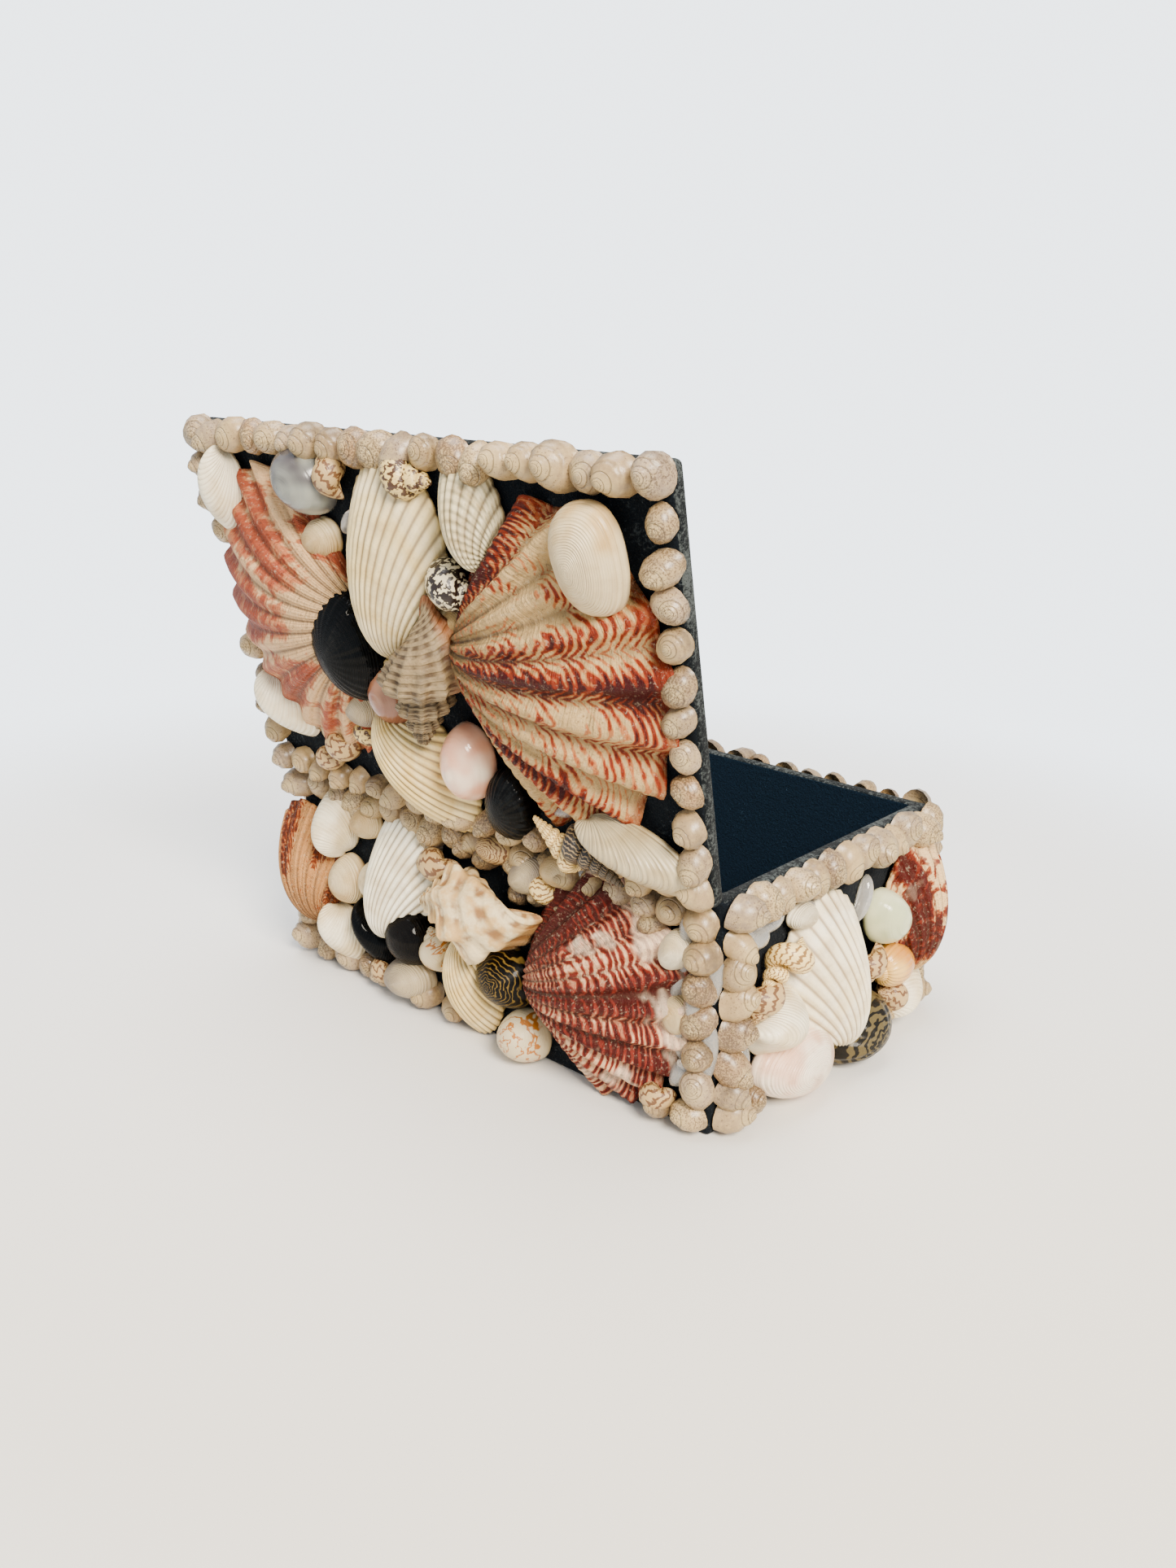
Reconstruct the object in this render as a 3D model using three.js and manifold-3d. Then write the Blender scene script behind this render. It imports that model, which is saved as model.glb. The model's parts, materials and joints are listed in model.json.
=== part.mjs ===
// A hinged trinket box covered in sea shells, standing open.
// A velvet-covered box and its flat lid carry a string of small snail shells along every edge,
// with large and middling shells glued over the fields between. Millimetres, +Z up. The origin
// is the middle of the underside, +X runs along the hinge and +Y points to the hinge side.

import * as THREE from "three";
import { mergeVertices } from "three/addons/utils/BufferGeometryUtils.js";
import Module from "manifold-3d";

const wasm = await Module();
wasm.setup();

// Box and lid
const boxLength = 160;
const boxDepth = 106;
const boxHeight = 64;
const wallThickness = 4.5;
const floorThickness = 4.5;
const lidThickness = 4.5;
const cornerRadius = 2.2;
const lidLean = 14.5; // degrees past upright at which the open lid stops
const seatGap = 0.3; // between the shut lid and the rim

// Cloth strip that hinges the lid
const hingeLength = 150;
const hingeWidth = 8;
const hingeThickness = 0.8;

// Strings of small snail shells
const beadHeight = 6.2;
const beadHalfWidth = 4.7;
const beadPitch = 9.4;
const waistHeight = 4.2; // where two neighbours touch
const waistHalfWidth = 3.3;
const wallInset = 4.9; // from a wall's edge to the middle of its string
const rimInset = 3; // the same at the rim, where the string stands a little above the wall
const lidInset = 2.6; // the same on the lid, where it hangs a little over the edge
const hingeInset = 5.2; // the same along the hinge

// Glue and clearances
const glueGap = 0.3; // between a shell and what it is glued to, and between two shells
const groundGap = 0.6; // below the lowest shells

const radians = THREE.MathUtils.degToRad;

// Each panel is a flat face that carries shells. Its local axes are x across, y up and z outwards,
// seen from outside, with the origin in the middle of the face. Insets are those of the string of
// snail shells, at the panel's sides, foot and top.
function panel(width, height, origin, turnAboutZ, insets) {
  const group = new THREE.Group();
  group.position.copy(origin);
  group.rotation.set(Math.PI / 2, 0, turnAboutZ, "ZYX");
  return { width, height, group, insets, cuts: [] };
}

const halfLength = boxLength / 2;
const halfDepth = boxDepth / 2;
const middleHeight = boxHeight / 2;

function wall(width, origin, turnAboutZ, topInset) {
  const insets = { side: wallInset, foot: wallInset, top: topInset };
  return panel(width, boxHeight, origin, turnAboutZ, insets);
}

const walls = {
  front: wall(boxLength, new THREE.Vector3(0, -halfDepth, middleHeight), 0, rimInset),
  right: wall(boxDepth, new THREE.Vector3(halfLength, 0, middleHeight), Math.PI / 2, rimInset),
  back: wall(boxLength, new THREE.Vector3(0, halfDepth, middleHeight), Math.PI, hingeInset),
  left: wall(boxDepth, new THREE.Vector3(-halfLength, 0, middleHeight), -Math.PI / 2, rimInset),
};

// The lid turns about a line just above the rim's outer edge at the back.
const lidGroup = new THREE.Group();
lidGroup.position.set(0, halfDepth, boxHeight + seatGap / 2);
lidGroup.rotation.set(-radians(lidLean), 0, 0);
const lidFace = new THREE.Vector3(0, seatGap / 2 + lidThickness, halfDepth);
const lid = panel(boxLength, boxDepth, lidFace, Math.PI, {
  side: lidInset,
  foot: hingeInset,
  top: lidInset,
});
lidGroup.add(lid.group);

const panels = { ...walls, lid };

// Planes that bound the shells of a panel: each keeps what its normal points at, from its offset
// on. Wall shells stay off the ground, below the rim and clear of the next wall's shells, those at
// the back stay below the open lid, and the lid's stay above the hinge line.
const leanSlope = Math.tan(radians(lidLean));
for (const one of Object.values(walls)) {
  const slope = one === walls.back ? leanSlope : 0;
  const side = -(one.width / 2 - glueGap);
  one.cuts.push(
    { normal: [0, 1, 0], offset: -boxHeight / 2 + groundGap },
    { normal: [0, -1, -slope], offset: -(boxHeight / 2 - glueGap) },
    { normal: [1, 0, 1], offset: side },
    { normal: [-1, 0, 1], offset: side },
  );
}
lid.cuts.push({ normal: [0, 1, 0], offset: -boxDepth / 2 + glueGap });

function trimToPanel(solid, cuts) {
  return cuts.reduce((kept, { normal, offset }) => {
    const length = Math.hypot(...normal);
    return kept.trimByPlane(
      normal.map((part) => part / length),
      offset / length,
    );
  }, solid);
}

// Solids and meshes

function solidFrom(positions, triangles) {
  return new wasm.Manifold(
    new wasm.Mesh({
      numProp: 3,
      vertProperties: new Float32Array(positions),
      triVerts: new Uint32Array(triangles),
    }),
  );
}

function solidFromGeometry(geometry) {
  const bare = geometry.clone();
  bare.deleteAttribute("normal");
  bare.deleteAttribute("uv");
  const merged = mergeVertices(bare, 1e-4);
  return solidFrom(merged.attributes.position.array, merged.index.array);
}

function geometryFrom(solid) {
  const { vertProperties, triVerts, numProp } = solid.getMesh();
  const count = vertProperties.length / numProp;
  const positions = new Float32Array(count * 3);
  for (let i = 0; i < count; i += 1) {
    positions.set(vertProperties.subarray(i * numProp, i * numProp + 3), i * 3);
  }
  const geometry = new THREE.BufferGeometry();
  geometry.setAttribute("position", new THREE.BufferAttribute(positions, 3));
  geometry.setIndex(new THREE.BufferAttribute(new Uint32Array(triVerts), 1));
  geometry.computeVertexNormals();
  return geometry;
}

// The largest of the bodies that a cut leaves.
function mainBody(solid) {
  const bodies = solid.decompose();
  return bodies.reduce((best, body) => (body.volume() > best.volume() ? body : best));
}

function boundsTouch(a, b) {
  const p = a.boundingBox();
  const q = b.boundingBox();
  return [0, 1, 2].every((k) => p.min[k] < q.max[k] && q.min[k] < p.max[k]);
}

// Materials

const finish = {
  velvet: { color: "#3a4148", roughness: 0.95 },
  bead: { color: "#cdb9a6", roughness: 0.6 },
  scallop: { color: "#b5573c", roughness: 0.55 },
  ivory: { color: "#e9dfc8", roughness: 0.5 },
  white: { color: "#ece9e2", roughness: 0.45 },
  pink: { color: "#dcae9c", roughness: 0.35 },
  black: { color: "#23262b", roughness: 0.3 },
  striped: { color: "#4a443a", roughness: 0.4 },
  speckled: { color: "#94836c", roughness: 0.4 },
};

function material(name) {
  return new THREE.MeshStandardMaterial({ ...finish[name], metalness: 0 });
}

function mesh(name, geometry, finishName) {
  const made = new THREE.Mesh(geometry, material(finishName));
  made.name = name;
  return made;
}

// Box, lid and hinge strip

function roundedRectangle(width, depth, radius) {
  const x = width / 2;
  const y = depth / 2;
  const shape = new THREE.Shape();
  shape.moveTo(-x + radius, -y);
  shape.lineTo(x - radius, -y);
  shape.absarc(x - radius, -y + radius, radius, -Math.PI / 2, 0);
  shape.lineTo(x, y - radius);
  shape.absarc(x - radius, y - radius, radius, 0, Math.PI / 2);
  shape.lineTo(-x + radius, y);
  shape.absarc(-x + radius, y - radius, radius, Math.PI / 2, Math.PI);
  shape.lineTo(-x, -y + radius);
  shape.absarc(-x + radius, -y + radius, radius, Math.PI, 1.5 * Math.PI);
  return shape;
}

const cornerSteps = 2;

function slab(width, depth, height) {
  return new THREE.ExtrudeGeometry(roundedRectangle(width, depth, cornerRadius), {
    depth: height,
    bevelEnabled: false,
    curveSegments: cornerSteps,
  });
}

// The back wall has a shallow rebate along its rim for the hinge strip.
function boxTray() {
  const outside = solidFromGeometry(slab(boxLength, boxDepth, boxHeight));
  const insideLength = boxLength - 2 * wallThickness;
  const insideDepth = boxDepth - 2 * wallThickness;
  const inside = slab(insideLength, insideDepth, boxHeight).translate(0, 0, floorThickness);
  const rebateDepth = hingeThickness + glueGap;
  const rebate = new THREE.BoxGeometry(
    hingeLength + 2 * glueGap,
    2 * rebateDepth,
    2 * (hingeWidth + 2 * glueGap),
  ).translate(0, halfDepth, boxHeight);
  const tray = outside.subtract(solidFromGeometry(inside)).subtract(solidFromGeometry(rebate));
  return mesh("box_tray", geometryFrom(tray), "velvet");
}

function lidBoard() {
  const board = mesh("lid_board", slab(boxLength, boxDepth, lidThickness), "velvet");
  board.position.z = -lidThickness;
  return board;
}

// The strip of cloth lies in the rebate, flush with the wall, up to the foot of the open lid.
function hingeCloth() {
  const geometry = new THREE.BoxGeometry(hingeLength, hingeWidth, hingeThickness);
  const strip = mesh("hinge_cloth", geometry, "velvet");
  strip.position.set(0, boxHeight / 2 - glueGap - hingeWidth / 2, -hingeThickness / 2);
  return strip;
}

// String of small snail shells round a panel's edge: a band that swells at each shell and
// narrows where two shells touch.

const bandSection = [
  [-1, 0],
  [-0.55, 0.88],
  [0.55, 0.88],
  [1, 0],
];

function direction([x0, y0], [x1, y1]) {
  const length = Math.hypot(x1 - x0, y1 - y0);
  return [(x1 - x0) / length, (y1 - y0) / length];
}

// A closed band through its stations, each a point with the band's half width and height there.
function bandSolid(stations, lift) {
  const total = stations.length;
  const across = bandSection.length;
  const positions = [];
  const triangles = [];
  stations.forEach(({ at, halfWidth, height }, i) => {
    const arriving = direction(stations[(i + total - 1) % total].at, at);
    const leaving = direction(at, stations[(i + 1) % total].at);
    const heading = Math.atan2(arriving[1] + leaving[1], arriving[0] + leaving[0]);
    for (const [side, rise] of bandSection) {
      positions.push(
        at[0] + Math.sin(heading) * side * halfWidth,
        at[1] - Math.cos(heading) * side * halfWidth,
        lift + rise * height,
      );
    }
    const here = i * across;
    const there = ((i + 1) % total) * across;
    for (let j = 0; j < across; j += 1) {
      const k = (j + 1) % across;
      triangles.push(here + j, here + k, there + k, here + j, there + k, there + j);
    }
  });
  return solidFrom(positions, triangles);
}

function bandCorners({ width, height, insets }) {
  const x = width / 2 - insets.side;
  const foot = -height / 2 + insets.foot;
  const top = height / 2 - insets.top;
  return [
    [-x, foot],
    [x, foot],
    [x, top],
    [-x, top],
  ];
}

function edgeShells(one) {
  const corners = bandCorners(one);
  const stations = corners.flatMap(([x0, y0], side) => {
    const [x1, y1] = corners[(side + 1) % corners.length];
    const count = Math.round(Math.hypot(x1 - x0, y1 - y0) / beadPitch);
    return Array.from({ length: 2 * count }, (_, i) => {
      const share = i / (2 * count);
      const at = [x0 + (x1 - x0) * share, y0 + (y1 - y0) * share];
      if (i % 2) return { at, halfWidth: waistHalfWidth, height: waistHeight };
      return { at, halfWidth: beadHalfWidth, height: beadHeight };
    });
  });
  return bandSolid(stations, glueGap);
}

// What the larger shells keep clear of at the edge: a plain band as big as the largest snail.
function edgeClearance(one) {
  const mitre = Math.SQRT2 * (beadHalfWidth + glueGap);
  const stations = bandCorners(one).map((at) => ({
    at,
    halfWidth: mitre,
    height: beadHeight + 2.5 * glueGap,
  }));
  return bandSolid(stations, 0);
}

// Forms of the larger shells. Each is drawn with its beak or tip towards -x, its outline in the
// plane of the panel and its back outwards. umbo is where the ribs meet, as a share of half the
// length; taper narrows the beak's end; flat makes the dome flatter than an ellipsoid; notch and
// groove are how far the grooves between ribs cut in at the edge and sink, as shares of the shell.
// A coiled form has a profile instead: pairs of how far along it is and how wide it is there.
const forms = {
  scallop: { sectors: 26, rings: 3, umbo: 0.92, taper: 0.26, flat: 0.6, notch: 0.04, groove: 0.16 },
  ark: { sectors: 22, rings: 3, umbo: 0.84, taper: 0.26, flat: 0.5, notch: 0.03, groove: 0.1 },
  clam: { sectors: 10, rings: 3, umbo: 0.7, taper: 0.18, flat: 0.52, notch: 0, groove: 0 },
  round: { sectors: 9, rings: 3, umbo: 0.3, taper: 0.08, flat: 0.5, notch: 0, groove: 0 },
  whelk: {
    sides: 10,
    profile: [
      [0, 0],
      [0.12, 0.3],
      [0.3, 0.52],
      [0.4, 0.86],
      [0.56, 1],
      [0.74, 0.8],
      [0.9, 0.4],
      [1, 0],
    ],
  },
  spire: {
    sides: 7,
    profile: [
      [0, 0],
      [0.35, 0.55],
      [0.75, 1],
      [0.92, 0.7],
      [1, 0],
    ],
  },
};

function domeSolid(form, length, width, height, grow) {
  const { sectors, rings, umbo, taper, flat, notch, groove } = form;
  const a = length / 2 + grow;
  const b = width / 2 + grow;
  const top = height + 2 * grow;
  const base = glueGap - grow;
  const positions = [];
  const triangles = [];
  const heightAt = (x, y) => {
    const along = Math.min(1, Math.max(-1, x / a));
    const half = b * (1 + taper * along);
    const rho = Math.min(1, along * along + (y / half) ** 2);
    return top * (1 - rho) ** flat;
  };
  for (let ring = 1; ring <= rings; ring += 1) {
    const share = Math.sin((ring / rings) * (Math.PI / 2));
    for (let i = 0; i < sectors; i += 1) {
      const angle = (i / sectors) * 2 * Math.PI;
      const sunk = i % 2 ? (1 + Math.cos(angle)) / 2 : 0;
      const inwards = 1 - notch * sunk;
      const x = -umbo * a + share * (a * Math.cos(angle) + umbo * a);
      const y = share * b * Math.sin(angle) * (1 + taper * Math.cos(angle));
      const z = ring === rings ? 0 : heightAt(x, y) * (1 - groove * sunk);
      positions.push(x * inwards, y * inwards, base + z);
    }
  }
  const beak = sectors * rings;
  positions.push(-umbo * a, 0, base + heightAt(-umbo * a, 0));
  positions.push(-umbo * a, 0, base);
  for (let i = 0; i < sectors; i += 1) {
    const j = (i + 1) % sectors;
    triangles.push(beak, i, j);
    for (let ring = 1; ring < rings; ring += 1) {
      const inner = (ring - 1) * sectors;
      const outer = ring * sectors;
      triangles.push(inner + i, outer + i, outer + j, inner + i, outer + j, inner + j);
    }
    const rim = (rings - 1) * sectors;
    triangles.push(beak + 1, rim + j, rim + i);
  }
  return solidFrom(positions, triangles);
}

// A coiled shell lying on its side: its profile turned about its length, cut flat below.
function coilSolid(form, length, width, height, grow) {
  const { sides, profile } = form;
  const points = profile.map(([along, out]) => {
    const radius = out ? (out * width) / 2 + grow : 0;
    return new THREE.Vector2(radius, (along - 0.5) * (length + 2 * grow));
  });
  const turned = new THREE.LatheGeometry(points, sides);
  turned.rotateZ(-Math.PI / 2);
  turned.scale(1, 1, height / width);
  turned.translate(0, 0, height / 2 + glueGap);
  return solidFromGeometry(turned).trimByPlane([0, 0, 1], glueGap - grow);
}

function shellSolid(shell, grow) {
  const form = forms[shell.form];
  const [length, width, height] = shell.size;
  const make = form.profile ? coilSolid : domeSolid;
  const [across, up] = shell.at;
  return make(form, length, width, height, grow)
    .rotate([0, 0, shell.turn])
    .translate([across, up, 0]);
}

// The larger shells, from the top of each heap down: name, form, finish, place across and up
// from the middle of the panel, the way the shell opens in degrees, and length, width and height.
function shell(name, form, finishName, at, turn, size) {
  return { name, form, finishName, at, turn, size };
}

const shells = {
  lid: [
    shell("lid_whelk", "whelk", "striped", [6, -5], 73, [43, 25, 20]),
    shell("lid_clam_cream", "clam", "ivory", [60, 34], -105, [29, 18, 13]),
    shell("lid_clam_long", "clam", "ivory", [63, -40], -15, [32, 16, 10]),
    shell("lid_snail_dashed", "round", "speckled", [7, 46], 177, [14, 11, 8]),
    shell("lid_cockle_white", "ark", "white", [24, 39], 97, [26, 18, 10]),
    shell("lid_ark_large", "ark", "ivory", [-4, 25], 80, [50, 33, 15]),
    shell("lid_nerite_speckled", "round", "speckled", [15, 21], 177, [15, 11, 8]),
    shell("lid_spire_white", "spire", "white", [38, -43], -38, [17, 9, 7]),
    shell("lid_spire_dark", "spire", "striped", [50, -44], 150, [18, 9, 7]),
    shell("lid_cowrie_pink", "round", "pink", [10, -28], -94, [21, 14, 11]),
    shell("lid_ark_lower", "ark", "ivory", [-9, -36], -54, [38, 28, 14]),
    shell("lid_nerite_black", "round", "black", [21, -38], -94, [20, 14, 9]),
    shell("lid_cowrie_salmon", "round", "pink", [-16, -14], -80, [18, 13, 10]),
    shell("lid_moon_shell", "round", "white", [-32, 42], -20, [19, 16, 11]),
    shell("lid_shell_pale", "round", "white", [-33, 26], 0, [11, 10, 7]),
    shell("lid_mussel_black", "round", "black", [-27, -4], -80, [24, 17, 11]),
    shell("lid_clam_corner", "clam", "white", [-69, 35], -100, [24, 13, 9]),
    shell("lid_clam_side", "clam", "white", [-64, -27], -50, [21, 15, 10]),
    shell("lid_scallop_large", "scallop", "scallop", [45, 2], -4, [62, 80, 15]),
    shell("lid_scallop_far", "scallop", "scallop", [-47, 2], 188, [52, 78, 14]),
  ],
  back: [
    shell("back_rock_snail", "whelk", "ivory", [9, 11], 12, [42, 22, 20]),
    shell("back_nerite_gold", "round", "striped", [14, -9], 3, [19, 15, 11]),
    shell("back_cowrie_black", "round", "black", [-25, -9], -62, [18, 16, 11]),
    shell("back_clam_white", "clam", "white", [-58, 18], 100, [19, 15, 12]),
    shell("back_ark_white", "ark", "white", [-30, 9], 79, [40, 25, 14]),
    shell("back_mussel_black", "clam", "black", [-42, -15], -58, [20, 11, 9]),
    shell("back_shell_cream", "round", "ivory", [-54, 0], -86, [15, 12, 9]),
    shell("back_clam_low", "clam", "white", [-56, -18], -61, [18, 14, 10]),
    shell("back_pebble_shell", "round", "white", [-26, -23], 10, [18, 12, 10]),
    shell("back_ark_cream", "ark", "ivory", [0, -23], 91, [25, 18, 12]),
    shell("back_snail_orange", "round", "white", [21, -24], 8, [15, 15, 11]),
    shell("back_scallop_large", "scallop", "scallop", [48, -4], 14, [50, 60, 15]),
    shell("back_scallop_far", "scallop", "scallop", [-70, 3], 112, [36, 24, 13]),
  ],
  left: [
    shell("left_clam_oval", "clam", "ivory", [-31, -6], -9, [22, 17, 12]),
    shell("left_clam_pink", "round", "pink", [-23, -22], -10, [34, 20, 14]),
    shell("left_nerite_dark", "round", "striped", [12, -24], 20, [24, 16, 16]),
    shell("left_cockle", "ark", "white", [-8, -1], 112, [46, 38, 14]),
    shell("left_moon_green", "round", "white", [22, 6], -49, [16, 13, 10]),
    shell("left_clam_white", "clam", "white", [38, -20], 40, [20, 13, 11]),
    shell("left_scallop", "scallop", "scallop", [40, 5], 80, [38, 30, 13]),
  ],
  front: [
    shell("front_whelk", "whelk", "striped", [-4, 4], -20, [40, 21, 18]),
    shell("front_clam_black", "round", "black", [21, -16], 20, [18, 14, 10]),
    shell("front_ark_left", "ark", "ivory", [-28, -2], 84, [38, 24, 14]),
    shell("front_ark_right", "ark", "white", [26, 8], 100, [32, 24, 13]),
    shell("front_scallop_left", "scallop", "scallop", [-56, -1], 172, [34, 42, 12]),
    shell("front_scallop_right", "scallop", "scallop", [56, -1], 6, [36, 43, 12]),
    shell("front_clam_low", "clam", "pink", [-2, -19], -85, [18, 16, 9]),
  ],
  right: [
    shell("right_cockle", "ark", "ivory", [9, 1], 95, [38, 27, 14]),
    shell("right_nerite", "round", "speckled", [-9, -17], 30, [17, 13, 10]),
    shell("right_scallop", "scallop", "scallop", [-26, 3], 168, [30, 38, 11]),
    shell("right_clam", "clam", "white", [32, -8], -70, [22, 17, 10]),
  ],
};

// Width and height of the panel that each list is drawn for. On a panel of another size the places
// follow its width and its height, and the shells follow whichever of the two leaves less room.
const drawnFor = {
  lid: [160, 106],
  back: [160, 64],
  left: [106, 64],
  front: [160, 64],
  right: [106, 64],
};

function fittedTo(panelName) {
  const { width, height } = panels[panelName];
  const across = width / drawnFor[panelName][0];
  const up = height / drawnFor[panelName][1];
  const scale = Math.min(across, up);
  return shells[panelName].map((one) => ({
    ...one,
    at: [one.at[0] * across, one.at[1] * up],
    size: one.size.map((length) => length * scale),
  }));
}

// Cuts each shell of a panel by its edge string, by the shells that lie over it and by the
// panel's planes, so that no two pieces share space.
function placeShells(panelName) {
  const { group, cuts } = panels[panelName];
  const above = [edgeClearance(panels[panelName])];
  const edge = edgeShells(panels[panelName]);
  group.add(mesh(`${panelName}_edge_shells`, geometryFrom(edge), "bead"));
  for (const one of fittedTo(panelName)) {
    let solid = trimToPanel(shellSolid(one, 0), cuts);
    for (const cutter of above) {
      if (boundsTouch(solid, cutter)) solid = solid.subtract(cutter);
    }
    group.add(mesh(one.name, geometryFrom(mainBody(solid)), one.finishName));
    above.push(shellSolid(one, glueGap));
  }
}

Object.keys(panels).forEach(placeShells);
walls.back.group.add(hingeCloth());
lid.group.add(lidBoard());

const shellBox = new THREE.Group();
shellBox.add(boxTray(), lidGroup, ...Object.values(walls).map((wall) => wall.group));

export default shellBox;
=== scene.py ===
import json
import math

import bmesh
import bpy
import numpy as np
from mathutils import Matrix, Vector


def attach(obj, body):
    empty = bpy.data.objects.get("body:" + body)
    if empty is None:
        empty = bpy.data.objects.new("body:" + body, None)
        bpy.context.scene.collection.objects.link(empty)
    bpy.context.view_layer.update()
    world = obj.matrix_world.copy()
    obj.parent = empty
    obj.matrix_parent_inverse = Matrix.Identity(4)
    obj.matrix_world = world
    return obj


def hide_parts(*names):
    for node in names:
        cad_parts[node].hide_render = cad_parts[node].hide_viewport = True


# A velvet-covered trinket box with its hinged lid standing open, covered in sea shells.
# Lengths are in millimetres until a mesh is made, and in the CAD model's own frame.

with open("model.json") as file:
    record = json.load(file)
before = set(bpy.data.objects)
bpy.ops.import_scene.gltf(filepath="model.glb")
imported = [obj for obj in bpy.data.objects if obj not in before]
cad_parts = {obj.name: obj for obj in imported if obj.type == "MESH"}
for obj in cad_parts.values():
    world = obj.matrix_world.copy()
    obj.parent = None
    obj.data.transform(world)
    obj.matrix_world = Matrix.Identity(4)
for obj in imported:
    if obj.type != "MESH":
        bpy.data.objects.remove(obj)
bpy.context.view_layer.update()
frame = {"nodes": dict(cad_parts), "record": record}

MM = 0.001
LENGTH, DEPTH, HEIGHT = 160.0, 106.0, 64.0
BOARD = 4.5
SEAT_GAP = 0.3
LEAN = math.radians(14.5)
SNAIL_WIDTH, SNAIL_HEIGHT = 9.6, 6.4
SIZE_SPREAD, TIP = 0.1, 0.26  # how far a snail's size strays, as a share, and its tilt, in radians
CORNER_SIZE = 1.15  # least size of the snail at a corner
OFF_PANEL, SNAIL_OFF_PANEL = 0.3, 0.15
SHELL_OFF_GROUND, STRING_OFF_GROUND, SNAIL_OFF_GROUND = 0.5, 0.4, 0.3
COVERED = 0.95  # share of a shell's reach within which it hides a snail
FIRST_SEED = 31
BOARD_ROUNDING, HOLLOW_ROUNDING, RIM_ROUNDING = 1.6, 1.2, 1.0
WALL_INSET, RIM_INSET, LID_INSET, HINGE_INSET = 4.9, 3.0, 2.6, 5.2


def hexcolour(code):
    """An sRGB hex colour as the linear colour that a shader takes."""
    parts = [int(code[i : i + 2], 16) / 255 for i in (1, 3, 5)]
    linear = [c / 12.92 if c <= 0.04045 else ((c + 0.055) / 1.055) ** 2.4 for c in parts]
    return (*linear, 1.0)


# Panels: each face of the box, with its middle, its directions across, up and out, its size, and
# how far its string of snails stands in from the sides, the foot and the top.


def panel(body, middle, directions, width, height, insets):
    return {
        "body": body, "middle": np.array(middle, float), "axes": np.array(directions, float),
        "width": width, "height": height, "insets": insets,
    }


lid_up = np.array([0, math.sin(LEAN), math.cos(LEAN)])
lid_out = np.array([0, math.cos(LEAN), -math.sin(LEAN)])
hinge = np.array([0, DEPTH / 2, HEIGHT + SEAT_GAP / 2])
lid_middle = hinge + lid_up * DEPTH / 2 + lid_out * (SEAT_GAP / 2 + BOARD)
PANELS = {
    "lid": panel(
        "lid", lid_middle, [(-1, 0, 0), lid_up, lid_out], LENGTH, DEPTH, (LID_INSET, HINGE_INSET, LID_INSET)
    )
}
for wall, across, out, width, reach, top in (
    ("back", (-1, 0, 0), (0, 1, 0), LENGTH, DEPTH / 2, HINGE_INSET),
    ("left", (0, -1, 0), (-1, 0, 0), DEPTH, LENGTH / 2, RIM_INSET),
    ("front", (1, 0, 0), (0, -1, 0), LENGTH, DEPTH / 2, RIM_INSET),
    ("right", (0, 1, 0), (1, 0, 0), DEPTH, LENGTH / 2, RIM_INSET),
):
    middle = (out[0] * reach, out[1] * reach, HEIGHT / 2)
    directions = [across, (0, 0, 1), out]
    PANELS[wall] = panel("box", middle, directions, width, HEIGHT, (WALL_INSET, WALL_INSET, top))


def onto_panel(points, name):
    """Points in a panel's own directions, in millimetres, as points of the model, in metres."""
    one = PANELS[name]
    return (one["middle"] + points @ one["axes"]) * MM


def turned(points, degrees, axis):
    c, s = math.cos(math.radians(degrees)), math.sin(math.radians(degrees))
    a, b = {"x": (1, 2), "z": (0, 1)}[axis]
    moved = points.copy()
    moved[:, a] = c * points[:, a] - s * points[:, b]
    moved[:, b] = s * points[:, a] + c * points[:, b]
    return moved


# Meshes


def mesh_from(name, points, faces, uv=None):
    """A mesh in metres, its seams merged and its faces outwards. uv gives one pair for each
    corner of each face, in order."""
    made = bpy.data.meshes.new(name)
    made.from_pydata([tuple(p) for p in points], [], [tuple(f) for f in faces])
    if uv is not None:
        layer = made.uv_layers.new(name="UVMap")
        layer.data.foreach_set("uv", np.asarray(uv, np.float32).ravel())
    shape = bmesh.new()
    shape.from_mesh(made)
    bmesh.ops.remove_doubles(shape, verts=shape.verts, dist=2e-6)
    if shape.calc_volume(signed=True) < 0:
        bmesh.ops.reverse_faces(shape, faces=shape.faces)
    shape.to_mesh(made)
    shape.free()
    made.polygons.foreach_set("use_smooth", [True] * len(made.polygons))
    made.update()
    return made


def link(name, made, material=None):
    """An object of the mesh, in the scene."""
    piece = bpy.data.objects.new(name, made)
    bpy.context.scene.collection.objects.link(piece)
    if material is not None:
        made.materials.clear()
        made.materials.append(material)
    return piece


def evaluated(piece):
    """The piece's mesh with its modifiers applied."""
    bpy.context.view_layer.update()
    return bpy.data.meshes.new_from_object(piece.evaluated_get(bpy.context.evaluated_depsgraph_get()))


def mesh_points(mesh):
    flat = np.zeros(len(mesh.vertices) * 3)
    mesh.vertices.foreach_get("co", flat)
    return flat.reshape(-1, 3)


def lay_on_panel(mesh, points, name):
    """Moves a mesh's points to where they lie on a panel."""
    mesh.vertices.foreach_set("co", onto_panel(points, name).ravel())
    mesh.update()


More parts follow.
